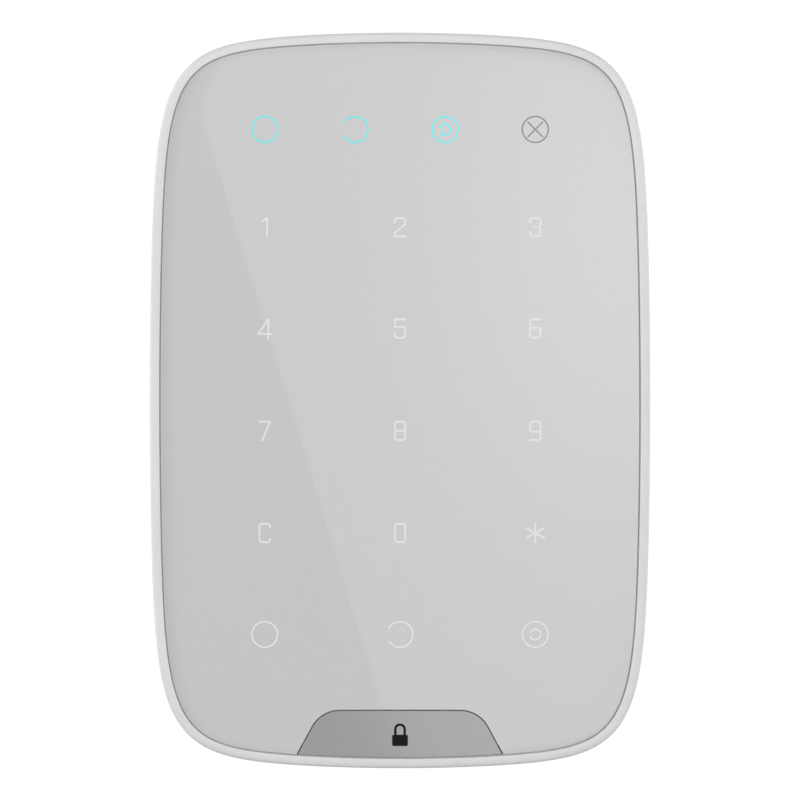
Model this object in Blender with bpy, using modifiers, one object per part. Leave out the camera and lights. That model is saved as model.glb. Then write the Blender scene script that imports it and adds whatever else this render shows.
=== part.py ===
"""Wall-mounted alarm keypad: a touch panel in a two-part case that hangs on a wall bracket.

Lengths are in millimetres and are turned into metres by MM when an object is made.
The wall is the plane y = 0, the keypad faces -Y, +X is the viewer's right and +Z is up.
The origin is the middle of the bracket's wall face.
"""

import math

import bmesh
import bpy
from mathutils import Matrix, Vector

MM = 0.001
GAP = 0.1  # kept between neighbouring solids
THROUGH = 1.0  # how far a cutter runs past the wall that it cuts
HAIR = 0.05  # offset that keeps the faces of joined solids from coinciding
FAR_BELOW = -80.0  # a height below the whole object
WELD = 1e-6  # metres within which two points are one
AXIS_TURN = {
    "Y": Matrix.Rotation(-math.pi / 2, 4, "X"),
    "Z": Matrix.Identity(4),
    "-Z": Matrix.Rotation(math.pi, 4, "X"),
}

# Outline of the case: a superellipse whose four sides are bowed outwards.
HALF_WIDTH = 51.07
HALF_HEIGHT = 75.0
OUTLINE_POWER = 7.6
SIDE_BOW = 0.0432
END_BOW = 0.0484
QUARTER_POINTS = 16

# Depths along Y, from the panel's front to the wall.
FRONT = -14.0
PANEL_BACK = -12.9
LEDGE_FRONT = -12.5
LEDGE_BACK = -11.3
BOARD_FRONT = -11.2
BOARD_BACK = -10.2
SPLIT_FRONT = -8.6
SPLIT_BACK = -8.4
FLOOR_INSIDE = -3.4
FLOOR_OUTSIDE = -2.2
REAR_INSIDE = -1.5
REAR_FACE = -0.5
BRACKET_FRONT = -1.8

# Front bezel, as insets from the outline.
RIM_WIDTH = 2.1
RIM_FLAT = 0.5
CROWN = 2.0  # depth of the rounded front edge
WIDEST = -10.5  # the depth at which the case is widest
SPLIT_INSET = 0.2
LEDGE_INSET = 4.6
BADGE_SHELF = (-25.0, 25.0, -72.2, -61.5)
BOARD_TAB_HALF = 4.0
BOARD_TAB = (63.4, 72.0)

# Rear housing.
REAR_INSET = 0.25
REAR_WALL = 2.0
REAR_ROUND = 3.0
SLITS = (-27.0, -21.5, -16.0)  # left ends of the sounder's slits
SLIT_LENGTH = 3.6
SLIT_DEPTHS = (-6.6, -5.4)
SLIT_TOP = -71.8
LABEL = (-3.5, 12.5, 8.0, 24.0)

# Panel, film and light guide.
PANEL_INSET = 2.35
PANEL_EDGE = 0.35
TAPE_MARGIN = 0.25
FILM = (-33.0, 33.0, -58.5, 61.8)
FILM_THICK = 0.2
FILM_CORNER = 4.0
LAMP_HALF_WIDTH = 1.0
LAMP_HALF_HEIGHT = 0.7
LAMP_THICK = 0.8
LAMP_CLEAR = 0.3

# Badge at the foot of the panel: a trapezium with rounded upper corners.
BADGE_TOP = -63.25
BADGE_TOP_HALF = 16.0
BADGE_SLOPE = 0.546  # sideways growth for each step down
BADGE_CORNER = 5.0
BADGE_GAP = 0.2
BADGE_SINK = 0.25

# Bracket, and the recess of the rear housing that it fills.
LIFT = 3.5  # how far the keypad lifts to come off the hooks
BRACKET_HALF = 28.0
BRACKET_TOP = 62.0
BRACKET_BOTTOM = -65.6
RECESS_HALF = 29.0
RECESS_TOP = 62.8
RECESS_BOTTOM = -70.4
RECESS_WALL = 1.3
HOOK_X = 20.0
HOOK_WIDTH = 8.0
HOOK_STEM = 2.0
HOOK_UNDERSIDES = (45.0, -37.0)
HOOK_FINGER = 3.0
HOOK_FINGER_THICK = 1.5
HOOK_CLEAR = 0.3
WALL_SCREW_RADIUS = 1.9
COUNTERSINK_RADIUS = 3.6
WALL_SCREW_X = 20.0
ROUND_HOLE_Z = 56.0
SLOT_Z = -52.0
SLOT_TRAVEL = 4.0
TAB_Z = -24.0
TAB_RADIUS = 8.4
TAB_SLIT = 1.1
TAB_BRIDGE_DEG = 12.0
WINDOW = (-14.0, 14.0, 6.0, 26.0)

# Switches on the board, and what presses them from behind.
SWITCH_SIZE = 6.0
SWITCH_TOP = BOARD_BACK + 1.9
SWITCH_WELL = 1.2
STEM_RADIUS = 1.6
POWER_X, POWER_Z = -8.5, 16.0
POWER_RADIUS = 2.9
POWER_TOP = FLOOR_OUTSIDE - 0.1
POWER_FLANGE = (FLOOR_INSIDE - 1.3, FLOOR_INSIDE - 0.5)
POWER_STEM = (SWITCH_TOP - 0.6, SWITCH_TOP + 0.8)
TAMPER_X, TAMPER_Z = 0.0, 36.0
TAMPER_RADIUS = 1.6
TAMPER_BORE = 1.85
TAMPER_TIP = -0.05
TAMPER_FLANGE = (-5.9, -4.9)
TAMPER_FLANGE_RADIUS = 3.4
TAMPER_STEM = (SWITCH_TOP - 0.9, SWITCH_TOP + 0.7)
TAMPER_SPRING_RADIUS = 2.6
TAMPER_SPRING_WIRE = 0.22
NOSE_RADIUS = 1.1

# Lock screw in the foot of the case. It passes through the bracket's lug into the housing's boss.
SCREW_Y = -4.4
SCREW_RADIUS = 1.4
SCREW_HEAD_RADIUS = 2.5
SCREW_HEAD = (-66.9, -65.3)
SCREW_TIP = -55.9
LUG = (-65.2, -62.7)
LUG_HALF = 5.0
LUG_FRONT = -6.9
RETAINER = (-59.6, -59.0)
RETAINER_RADIUS = 2.4
BOSS_FOOT = -58.9
BOSS_DEPTH = 4.5
BOSS_BORE_END = SCREW_TIP + 0.5
POCKET_HALF = 6.6
POCKET_FRONT = -7.2
POCKET_WALL = 1.0

# Cells, two in line down each side, and their holders.
CELL_RADIUS = 5.1
CELL_LENGTH = 44.0
CELL_NUB = 1.0
CELL_NUB_RADIUS = 1.9
CELL_X = 41.2
CELL_Y = -7.1
CELL_TOP = 47.0
PLATE_HALF = 4.0
PLATE_THICK = 0.35
HOLDER_END = 48.9
HOLDER_WALL = 1.3
HOLDER_INNER = 34.5
HOLDER_OUTER = 47.3
HOLDER_STEP = 46.5
HOLDER_FRONT = PANEL_BACK + 0.15
HOLDER_BACK = -5.6
SPRING_WIRE = 0.28

# Screws that hold the case and the board.
POST_X, POST_Z = 40.3, 62.3
POST_RADIUS = 3.0
BOSS_RADIUS = 2.7
CASE_SCREW_RADIUS = 1.15
CASE_SCREW_HEAD = (2.1, 1.3)  # radius and height
CASE_SCREW_SEAT = -3.7
CASE_SCREW_TIP = -10.4
BOARD_SCREW_X, BOARD_SCREW_Z = 19.0, 66.2
BOARD_SCREW_RADIUS = 0.8
BOARD_SCREW_HEAD = (1.6, 0.9)
BOARD_SCREW_TIP = -12.3
BOARD_HALF_WIDTH = 33.5
BOARD_HALF_HEIGHT = 68.6
CORNER_NAMES = ("lower_left", "upper_left", "lower_right", "upper_right")

# Boxes on the back of the board: middle x and z, width, height, depth and rounding.
COMPONENTS = {
    "radio_shield": (18.0, 14.0, 18.0, 22.0, 2.6, 0.4),
    "microcontroller": (-22.0, 12.0, 7.0, 7.0, 1.0, 0.0),
    "crystal": (-24.0, 2.0, 3.6, 9.5, 2.4, 0.6),
    "test_connector": (2.0, -44.0, 7.6, 5.0, 2.5, 0.0),
}
CAPACITOR_PLACE = (-24.0, 33.5)
CAPACITOR_RADIUS = 3.2
CAPACITOR_HEIGHT = 5.2
BUZZER_PLACE = (-17.0, -16.0)
BUZZER_RADIUS = 8.5
BUZZER_WALL = 0.8
BUZZER_HEIGHT = 3.4
BUZZER_DISC = (7.4, 1.6, 1.9)  # radius, front and back above the board
AERIAL_WIRE = 0.4
AERIAL_X = 30.5
AERIAL_FOOT = 40.0
AERIAL_TOP = 62.9
AERIAL_END = 9.0
AERIAL_STAND = 1.6
AERIAL_BEND = 1.7

# Symbols on the panel, which set the places of the light sources.
STATUS_PITCH = 18.37
STATUS_Z = 55.3
KEY_LIGHT_X, KEY_LIGHT_Z = 13.8, 4.0

# Colour, roughness and metallic value of each material.
FINISHES = {
    "white_plastic": ((0.72, 0.73, 0.74), 0.45, 0.0),
    "panel_gloss": ((0.60, 0.61, 0.62), 0.12, 0.0),
    "badge_grey": ((0.36, 0.36, 0.37), 0.35, 0.0),
    "black_tape": ((0.04, 0.04, 0.04), 0.7, 0.0),
    "printed_film": ((0.85, 0.85, 0.85), 0.4, 0.0),
    "clear_acrylic": ((0.90, 0.94, 0.95), 0.08, 0.0),
    "circuit_board": ((0.02, 0.16, 0.07), 0.4, 0.0),
    "black_plastic": ((0.02, 0.02, 0.02), 0.5, 0.0),
    "grey_plastic": ((0.30, 0.31, 0.32), 0.5, 0.0),
    "lamp": ((0.95, 0.93, 0.80), 0.3, 0.0),
    "tinned_steel": ((0.70, 0.70, 0.68), 0.35, 1.0),
    "spring_steel": ((0.62, 0.62, 0.62), 0.3, 1.0),
    "brass": ((0.72, 0.55, 0.25), 0.35, 1.0),
    "cell_jacket": ((0.10, 0.11, 0.13), 0.35, 0.3),
    "paper_label": ((0.88, 0.88, 0.86), 0.6, 0.0),
}


def clear_scene():
    for obj in list(bpy.data.objects):
        bpy.data.objects.remove(obj, do_unlink=True)


def make_collection(name):
    group = bpy.data.collections.new(name)
    bpy.context.scene.collection.children.link(group)
    return group


def make_material(name, colour, roughness, metallic=0.0):
    material = bpy.data.materials.new(name)
    material.use_nodes = True
    shader = material.node_tree.nodes["Principled BSDF"]
    shader.inputs["Base Color"].default_value = (*colour, 1.0)
    shader.inputs["Roughness"].default_value = roughness
    shader.inputs["Metallic"].default_value = metallic
    return material


# ---------------------------------------------------------------- outlines


def outline_point(angle):
    """A point of the outer outline in the first quarter, from the right side (0) to the top (90 degrees)."""
    power = 2.0 / OUTLINE_POWER
    flat_x = max(math.cos(angle), 0.0) ** power
    flat_z = max(math.sin(angle), 0.0) ** power
    x, z = flat_x, flat_z
    for _ in range(12):
        x = flat_x * (1.0 - SIDE_BOW * z * z)
        z = flat_z * (1.0 - END_BOW * x * x)
    return Vector((HALF_WIDTH * x, HALF_HEIGHT * z))


def quarter_outline(count):
    """Points along a quarter of the outline with their outward normals, closer together round the corner."""
    fine = 1500
    curve = [outline_point(math.pi / 2 * i / fine) for i in range(fine + 1)]
    steps = [(b - a) for a, b in zip(curve, curve[1:])]
    headings = [math.atan2(s.y, s.x) for s in steps]
    length = sum(s.length for s in steps)
    turned = headings[-1] - headings[0]
    travel = [0.0]
    for i, step in enumerate(steps):
        turn = headings[i] - headings[i - 1] if i else 0.0
        travel.append(travel[-1] + step.length / length + 2.0 * turn / turned)
    found = []
    for k in range(count + 1):
        wanted = travel[-1] * k / count
        i = min(range(len(travel)), key=lambda j: abs(travel[j] - wanted))
        heading = headings[min(i, len(headings) - 1)]
        normal = Vector((math.sin(heading), -math.cos(heading)))
        if k == 0:
            normal = Vector((1.0, 0.0))
        if k == count:
            normal = Vector((0.0, 1.0))
        found.append((curve[i], normal))
    return found


def outline(inset=0.0, count=QUARTER_POINTS):
    """The whole outline moved inwards by inset, as (x, z) points, anticlockwise from the right side."""
    quarter = [p - n * inset for p, n in quarter_outline(count)]
    top = [Vector((-p.x, p.y)) for p in reversed(quarter[:-1])]
    upper = quarter + top
    return upper + [Vector((p.x, -p.y)) for p in reversed(upper[1:-1])]


def rounded_box(x0, x1, z0, z1, radius, steps=4):
    """A rectangle with round corners, as (x, z) points."""
    points = []
    corners = ((x1, z1, 0), (x0, z1, 90), (x0, z0, 180), (x1, z0, 270))
    for x, z, start in corners:
        cx = x - math.copysign(radius, x - (x0 + x1) / 2)
        cz = z - math.copysign(radius, z - (z0 + z1) / 2)
        for k in range(steps + 1):
            a = math.radians(start + 90.0 * k / steps)
            points.append(Vector((cx + radius * math.cos(a), cz + radius * math.sin(a))))
    return points


def arc_slit(centre, inner, outer, start_deg, end_deg, steps=8):
    """A curved slit between two radii, as (x, z) points."""
    def ring(radius, angles):
        return [
            Vector((centre[0] + radius * math.cos(a), centre[1] + radius * math.sin(a)))
            for a in angles
        ]

    angles = [math.radians(start_deg + (end_deg - start_deg) * k / steps) for k in range(steps + 1)]
    return ring(outer, angles) + ring(inner, reversed(angles))


def badge_outline(grow=0.0, steps=6):
    """The badge's trapezium, grown by grow and run down below the case, as (x, z) points."""
    lean = math.hypot(1.0, BADGE_SLOPE)
    top = BADGE_TOP + grow
    top_half = BADGE_TOP_HALF + grow * lean - grow * BADGE_SLOPE
    turn = math.pi / 2 - math.atan(BADGE_SLOPE)
    radius = BADGE_CORNER + grow
    reach = radius * math.tan(turn / 2)
    centre = Vector((top_half - reach, top - radius))
    right = [
        centre + radius * Vector((math.sin(turn * k / steps), math.cos(turn * k / steps)))
        for k in range(steps + 1)
    ]
    right.append(Vector((top_half + BADGE_SLOPE * (top - FAR_BELOW), FAR_BELOW)))
    left = [Vector((-p.x, p.y)) for p in right]
    return list(reversed(right)) + left


# ---------------------------------------------------------------- solids


def new_object(name, mesh, group):
    obj = bpy.data.objects.new(name, mesh)
    group.objects.link(obj)
    return obj


def mesh_of(bm, name):
    bmesh.ops.recalc_face_normals(bm, faces=bm.faces)
    mesh = bpy.data.meshes.new(name)
    bm.to_mesh(mesh)
    bm.free()
    return mesh


def box(name, x, y, z, group, bevel=0.0):
    """A box between the given (low, high) limits, its edges rounded by bevel."""
    bm = bmesh.new()
    bmesh.ops.create_cube(bm, size=1.0)
    size = Vector((x[1] - x[0], y[1] - y[0], z[1] - z[0])) * MM
    bmesh.ops.scale(bm, vec=size, verts=bm.verts)
    if bevel:
        bmesh.ops.bevel(bm, geom=bm.edges[:], offset=bevel * MM, segments=2, affect="EDGES", profile=0.5)
    obj = new_object(name, mesh_of(bm, name), group)
    obj.location = Vector((x[0] + x[1], y[0] + y[1], z[0] + z[1])) * MM / 2
    return obj


def cylinder(name, radius, start, end, group, axis="Y", sides=24, end_radius=None):
    """A cylinder, or a cone with end_radius, from point start along an axis to the coordinate end."""
    letter = "XYZ".index(axis)
    bm = bmesh.new()
    bmesh.ops.create_cone(
        bm,
        cap_ends=True,
        segments=sides,
        radius1=radius * MM,
        radius2=(radius if end_radius is None else end_radius) * MM,
        depth=(end - start[letter]) * MM,
    )
    bm.transform(AXIS_TURN[axis])
    obj = new_object(name, mesh_of(bm, name), group)
    middle = Vector(start)
    middle[letter] = (start[letter] + end) / 2
    obj.location = middle * MM
    return obj


def baked(obj, group):
    """The evaluated object as a plain mesh object with welded caps, in place of the first one."""
    name = obj.name
    bpy.context.view_layer.update()
    graph = bpy.context.evaluated_depsgraph_get()
    mesh = bpy.data.meshes.new_from_object(obj.evaluated_get(graph))
    bm = bmesh.new()
    bm.from_mesh(mesh)
    bmesh.ops.remove_doubles(bm, verts=bm.verts, dist=WELD)
    bmesh.ops.recalc_face_normals(bm, faces=bm.faces)
    bm.to_mesh(mesh)
    bm.free()
    matrix = obj.matrix_world.copy()
    bpy.data.objects.remove(obj, do_unlink=True)
    made = new_object(name, mesh, group)
    made.matrix_world = matrix
    return made


def flat_curve(name, loops, fill="BOTH"):
    """A 2D curve in its own XY plane from closed loops of (x, z) points."""
    curve = bpy.data.curves.new(name, "CURVE")
    curve.dimensions = "2D"
    curve.fill_mode = fill
    for points in loops:
        spline = curve.splines.new("POLY")
        spline.points.add(len(points) - 1)
        for target, p in zip(spline.points, points):
            target.co = (p[0] * MM, p[1] * MM, 0.0, 1.0)
        spline.use_cyclic_u = True
    return curve


def prism(name, loops, y0, y1, group):
    """A flat outline, with any inner loops as holes, extruded from y0 to y1."""
    curve = flat_curve(name, loops)
    curve.extrude = (y1 - y0) * MM / 2
    obj = new_object(name, curve, group)
    obj.rotation_euler = (math.pi / 2, 0.0, 0.0)
    obj.location = (0.0, (y0 + y1) * MM / 2, 0.0)
    return baked(obj, group)


def round_edges_at(obj, y, width, segments):
    """Rounds the edge of the flat end face that lies at depth y."""
    bm = bmesh.new()
    bm.from_mesh(obj.data)
    bm.transform(obj.matrix_world)
    end_faces = [f for f in bm.faces if all(abs(v.co.y - y * MM) < WELD for v in f.verts)]
    face = bmesh.ops.dissolve_faces(bm, faces=end_faces)["region"][0]
    bmesh.ops.bevel(
        bm, geom=list(face.edges), offset=width * MM, segments=segments, affect="EDGES", profile=0.5
    )
    obj.data = mesh_of(bm, obj.name)
    obj.matrix_world = Matrix.Identity(4)
    return obj


def sweep(name, profile, group):
    """A closed profile of (inset, y) points carried round the case's outline."""
    points = [(inset, -y) for inset, y in profile]
    section = new_object(name + "_section", flat_curve(name, [points], "NONE"), group)
    path = flat_curve(name, [outline()], "NONE")
    path.bevel_mode = "OBJECT"
    path.bevel_object = section
    obj = new_object(name, path, group)
    obj.rotation_euler = (math.pi / 2, 0.0, 0.0)
    made = baked(obj, group)
    bpy.data.objects.remove(section, do_unlink=True)
    return made


def turned(name, profile, place, group, axis="Z", steps=24):
    """A solid of revolution from (radius, height) points that run from its top down the outer side."""
    mesh = bpy.data.meshes.new(name)
    points = [(r * MM, 0.0, h * MM) for r, h in profile]
    mesh.from_pydata(points, [(i, i + 1) for i in range(len(points) - 1)], [])
    obj = new_object(name, mesh, group)
    screw = obj.modifiers.new("Turn", "SCREW")
    screw.axis = "Z"
    screw.steps = steps
    screw.render_steps = steps
    screw.use_merge_vertices = True
    screw.merge_threshold = WELD
    obj.matrix_world = Matrix.Translation(Vector(place) * MM) @ AXIS_TURN[axis]
    return baked(obj, group)


def wire(name, points, radius, group):
    """A round wire along (x, y, z) points, closed at both ends."""
    curve = bpy.data.curves.new(name, "CURVE")
    curve.dimensions = "3D"
    curve.bevel_depth = radius * MM
    curve.bevel_resolution = 2
    curve.use_fill_caps = True
    spline = curve.splines.new("POLY")
    spline.points.add(len(points) - 1)
    for target, p in zip(spline.points, points):
        target.co = (p[0] * MM, p[1] * MM, p[2] * MM, 1.0)
    return baked(new_object(name, curve, group), group)


def coil(radius_start, radius_end, low, high, turns, per_turn=10):
    """Points (across, along, up) of a helix, from low to high along its axis."""
    count = int(turns * per_turn)
    points = []
    for k in range(count + 1):
        share = k / count
        angle = 2.0 * math.pi * turns * share
        radius = radius_start + (radius_end - radius_start) * share
        points.append((radius * math.cos(angle), low + (high - low) * share, radius * math.sin(angle)))
    return points


def combine(target, tools, operation):
    """Applies one Boolean after another to the target, and removes the tools."""
    for tool in tools:
        modifier = target.modifiers.new(operation.title(), "BOOLEAN")
        modifier.operation = operation
        modifier.solver = "EXACT"
        modifier.object = tool
        bpy.context.view_layer.update()
        graph = bpy.context.evaluated_depsgraph_get()
        mesh = bpy.data.meshes.new_from_object(target.evaluated_get(graph))
        target.modifiers.clear()
        target.data = mesh
        bpy.data.objects.remove(tool, do_unlink=True)
    return target


def join(target, *tools):
    return combine(target, tools, "UNION")


def cut(target, *tools):
    return combine(target, tools, "DIFFERENCE")


def corners(x, z):
    """The four places (x, z) that mirror each other in both axes."""
    return [(sx * x, sz * z) for sx in (-1, 1) for sz in (-1, 1)]


def ordered(a, b):
    return (min(a, b), max(a, b))


# ---------------------------------------------------------------- the front


def bezel_profile():
    """Section of the bezel: rim, rounded front edge, side wall and the ledge inside it."""
    steps = 5
    crown = [
        (
            (RIM_WIDTH - RIM_FLAT) * (1.0 - math.sin(math.pi / 2 * k / steps)),
            FRONT + CROWN * (1.0 - math.cos(math.pi / 2 * k / steps)),
        )
        for k in range(steps + 1)
    ]
    return [
        (RIM_WIDTH, LEDGE_FRONT),
        (RIM_WIDTH, FRONT + HAIR),
        *crown,
        (0.0, WIDEST),
        (SPLIT_INSET, SPLIT_FRONT),
        (RIM_WIDTH, SPLIT_FRONT),
        (RIM_WIDTH, LEDGE_BACK),
        (LEDGE_INSET, LEDGE_BACK),
        (LEDGE_INSET, LEDGE_FRONT),
    ]


def ledge_pad(name, x0, x1, z0, z1, tools):
    """A flat extension of the bezel's ledge, a hair thinner so that no faces coincide."""
    shape = rounded_box(x0, x1, z0, z1, 1.0)
    return prism(name, [shape], LEDGE_FRONT + HAIR / 2, LEDGE_BACK - HAIR / 2, tools)


def make_front_bezel(parts, tools):
    """The visible white rim, the side wall, and the ledge that carries the panel and the board."""
    bezel = sweep("front_bezel", bezel_profile(), parts)
    half = BOARD_TAB_HALF
    tabs = [
        ledge_pad("board_tab", x - half, x + half, *BOARD_TAB, tools)
        for x in (-BOARD_SCREW_X, BOARD_SCREW_X)
    ]
    bosses = [
        cylinder("boss", BOSS_RADIUS, (x, LEDGE_FRONT + 3.0 * GAP, z), SPLIT_FRONT, tools)
        for x, z in corners(POST_X, POST_Z)
    ]
    join(bezel, ledge_pad("badge_shelf", *BADGE_SHELF, tools), *tabs, *bosses)
    for x, z in corners(POST_X, POST_Z):
        start = (x, CASE_SCREW_TIP - 3.0 * GAP, z)
        cut(bezel, cylinder("pilot", CASE_SCREW_RADIUS + GAP, start, SPLIT_FRONT + THROUGH, tools, sides=16))
    for x, z in corners(BOARD_SCREW_X, BOARD_SCREW_Z):
        start = (x, LEDGE_FRONT - THROUGH, z)
        cut(bezel, cylinder("pilot", BOARD_SCREW_RADIUS + GAP, start, LEDGE_BACK + THROUGH, tools, sides=12))
    return bezel


def make_touch_panel(parts, tools):
    """The one smooth face that carries every key, with a notch for the badge."""
    panel = prism("touch_panel", [outline(PANEL_INSET)], FRONT, PANEL_BACK, parts)
    round_edges_at(panel, FRONT, PANEL_EDGE, 2)
    notch = prism("notch", [badge_outline(BADGE_GAP)], FRONT - THROUGH, PANEL_BACK + THROUGH, tools)
    return cut(panel, notch)


def make_badge_plate(parts, tools):
    """The grey plate at the foot of the panel."""
    plate = prism("badge_plate", [outline(PANEL_INSET)], FRONT + BADGE_SINK, PANEL_BACK, parts)
    shape = prism("badge_shape", [badge_outline()], FRONT - THROUGH, PANEL_BACK + THROUGH, tools)
    return combine(plate, [shape], "INTERSECT")


def make_panel_adhesive(parts):
    """The tape that bonds the panel to the bezel's ledge."""
    loops = [outline(PANEL_INSET + TAPE_MARGIN, 12), outline(LEDGE_INSET - TAPE_MARGIN - HAIR, 12)]
    return prism("panel_adhesive_frame", loops, PANEL_BACK + GAP, LEDGE_FRONT - GAP, parts)


def make_legend_film(parts):
    """The printed film that shows each key's symbol."""
    y = PANEL_BACK + GAP
    return prism("legend_film", [rounded_box(*FILM, FILM_CORNER)], y, y + FILM_THICK, parts)


def make_light_guide(parts, tools):
    """The clear plate that spreads light behind the symbols, with a pocket for each light source."""
    front = PANEL_BACK + GAP + FILM_THICK + GAP
    plate = prism("light_guide", [rounded_box(*FILM, FILM_CORNER)], front, BOARD_FRONT - GAP, parts)
    half_x, half_z = LAMP_HALF_WIDTH + LAMP_CLEAR, LAMP_HALF_HEIGHT + LAMP_CLEAR
    y = (front - THROUGH, BOARD_FRONT + THROUGH)
    pockets = [
        box("pocket", (x - half_x, x + half_x), y, (z - half_z, z + half_z), tools) for x, z in light_places()
    ]
    return cut(plate, *pockets)


def light_places():
    """Where the light sources stand: one behind each status symbol and two behind the keys."""
    status = [(STATUS_PITCH * (k - 1.5), STATUS_Z) for k in range(4)]
    return status + [(-KEY_LIGHT_X, KEY_LIGHT_Z), (KEY_LIGHT_X, KEY_LIGHT_Z)]


def make_lights(parts):
    names = [f"status_led_{k}" for k in (1, 2, 3, 4)] + ["backlight_led_left", "backlight_led_right"]
    y = (BOARD_FRONT - GAP - LAMP_THICK, BOARD_FRONT - GAP)
    half_x, half_z = LAMP_HALF_WIDTH, LAMP_HALF_HEIGHT
    return [
        box(name, (x - half_x, x + half_x), y, (z - half_z, z + half_z), parts)
        for name, (x, z) in zip(names, light_places())
    ]


# ---------------------------------------------------------------- the board


def make_main_board(parts, tools):
    """The printed circuit with the touch electrodes, screwed to the bezel."""
    shape = rounded_box(-BOARD_HALF_WIDTH, BOARD_HALF_WIDTH, -BOARD_HALF_HEIGHT, BOARD_HALF_HEIGHT, 2.5)
    board = prism("main_board", [shape], BOARD_FRONT, BOARD_BACK, parts)
    for x, z in corners(BOARD_SCREW_X, BOARD_SCREW_Z):
        start = (x, BOARD_FRONT - THROUGH, z)
        cut(board, cylinder("hole", BOARD_SCREW_RADIUS + 0.2, start, BOARD_BACK + THROUGH, tools, sides=16))
    return board


def board_box(name, x, z, width, height, depth, bevel, parts):
    """A rectangular component that stands on the back of the board."""
    half_x, half_z = width / 2, height / 2
    y = BOARD_BACK + GAP
    return box(name, (x - half_x, x + half_x), (y, y + depth), (z - half_z, z + half_z), parts, bevel)


def make_switch(name, x, z, parts, tools):
    """A push switch: a square body with a round well for its stem."""
    body = board_box(name, x, z, SWITCH_SIZE, SWITCH_SIZE, SWITCH_TOP - BOARD_BACK - GAP, 0.0, parts)
    well = cylinder("well", STEM_RADIUS + 0.2, (x, SWITCH_TOP - SWITCH_WELL, z), SWITCH_TOP + THROUGH, tools)
    return cut(body, well)


def make_buzzer(parts, tools):
    """The sounder: a round cup that is open at the back, and the thin disc in it."""
    x, z = BUZZER_PLACE
    y = BOARD_BACK + GAP
    cup = cylinder("buzzer_case", BUZZER_RADIUS, (x, y, z), y + BUZZER_HEIGHT, parts, sides=32)
    inner, floor = BUZZER_RADIUS - BUZZER_WALL, y + BUZZER_WALL
    cut(cup, cylinder("bore", inner, (x, floor, z), y + BUZZER_HEIGHT + THROUGH, tools, sides=32))
    radius, front, back = BUZZER_DISC
    disc = cylinder("buzzer_disc", radius, (x, y + front, z), y + back, parts, sides=28)
    return cup, disc


def make_antenna(name, side, parts):
    """A wire aerial that stands on the board, runs up beside it and turns in along its top."""
    foot = BOARD_BACK + AERIAL_WIRE + 2.0 * GAP
    run = foot + AERIAL_STAND
    points = [(side * AERIAL_X, foot, AERIAL_FOOT), (side * AERIAL_X, run, AERIAL_FOOT + 2.0 * AERIAL_WIRE)]
    for k in range(4):
        a = math.pi / 2 * k / 3
        x = AERIAL_X - AERIAL_BEND * (1.0 - math.cos(a))
        points.append((side * x, run, AERIAL_TOP - AERIAL_BEND * (1.0 - math.sin(a))))
    points.append((side * AERIAL_END, run, AERIAL_TOP))
    return wire(name, points, AERIAL_WIRE, parts)


def make_board_parts(parts, tools):
    """Everything that is soldered to the back of the board, as name: object."""
    made = {
        name: board_box(name, *place_and_size, bevel, parts)
        for name, (*place_and_size, bevel) in COMPONENTS.items()
    }
    x, z = CAPACITOR_PLACE
    y = BOARD_BACK + GAP
    made["capacitor"] = cylinder("capacitor", CAPACITOR_RADIUS, (x, y, z), y + CAPACITOR_HEIGHT, parts)
    made["power_switch"] = make_switch("power_switch", POWER_X, POWER_Z, parts, tools)
    made["tamper_switch"] = make_switch("tamper_switch", TAMPER_X, TAMPER_Z, parts, tools)
    for side, word in ((-1, "left"), (1, "right")):
        made[f"antenna_{word}"] = make_antenna(f"antenna_{word}", side, parts)
    made["buzzer_case"], made["buzzer_disc"] = make_buzzer(parts, tools)
    return made


# ---------------------------------------------------------------- screws


def make_screw(name, head, radius, length, tip, axis, parts, tools):
    """A pan-head screw with a cross recess. head is (radius, height), and the head lies along +axis."""
    head_radius, head_height = head
    top = length + head_height
    point = radius * 0.5
    profile = [
        (0.0, top),
        (head_radius * 0.75, top),
        (head_radius, top - head_height * 0.45),
        (head_radius, length),
        (radius, length),
        (radius, point),
        (point, 0.0),
        (0.0, 0.0),
    ]
    screw = turned(name, profile, (0.0, 0.0, 0.0), parts, steps=14)
    reach, blade = head_radius * 0.62, head_radius * 0.17
    depth = (top - head_height * 0.6, top + THROUGH)
    cut(
        screw,
        box("recess", (-reach, reach), (-blade, blade), depth, tools),
        box("recess", (-blade, blade), (-reach, reach), depth, tools),
    )
    screw.matrix_world = Matrix.Translation(Vector(tip) * MM) @ AXIS_TURN[axis]
    return screw


def make_case_screws(parts, tools):
    length = CASE_SCREW_SEAT + GAP - CASE_SCREW_TIP
    made = []
    for word, (x, z) in zip(CORNER_NAMES, corners(POST_X, POST_Z)):
        tip = (x, CASE_SCREW_TIP, z)
        name = "case_screw_" + word
        made.append(make_screw(name, CASE_SCREW_HEAD, CASE_SCREW_RADIUS, length, tip, "Y", parts, tools))
    return made


def make_board_screws(parts, tools):
    length = BOARD_BACK + GAP - BOARD_SCREW_TIP
    made = []
    for word, (x, z) in zip(CORNER_NAMES, corners(BOARD_SCREW_X, BOARD_SCREW_Z)):
        tip = (x, BOARD_SCREW_TIP, z)
        name = "board_screw_" + word
        made.append(make_screw(name, BOARD_SCREW_HEAD, BOARD_SCREW_RADIUS, length, tip, "Y", parts, tools))
    return made


def make_lock_screw(parts, tools):
    """The captive screw that ties the case to the bracket, its head downwards."""
    head = (SCREW_HEAD_RADIUS, SCREW_HEAD[1] - SCREW_HEAD[0])
    length = SCREW_TIP - SCREW_HEAD[1]
    return make_screw("lock_screw", head, SCREW_RADIUS, length, (0.0, SCREW_Y, SCREW_TIP), "-Z", parts, tools)


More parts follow.
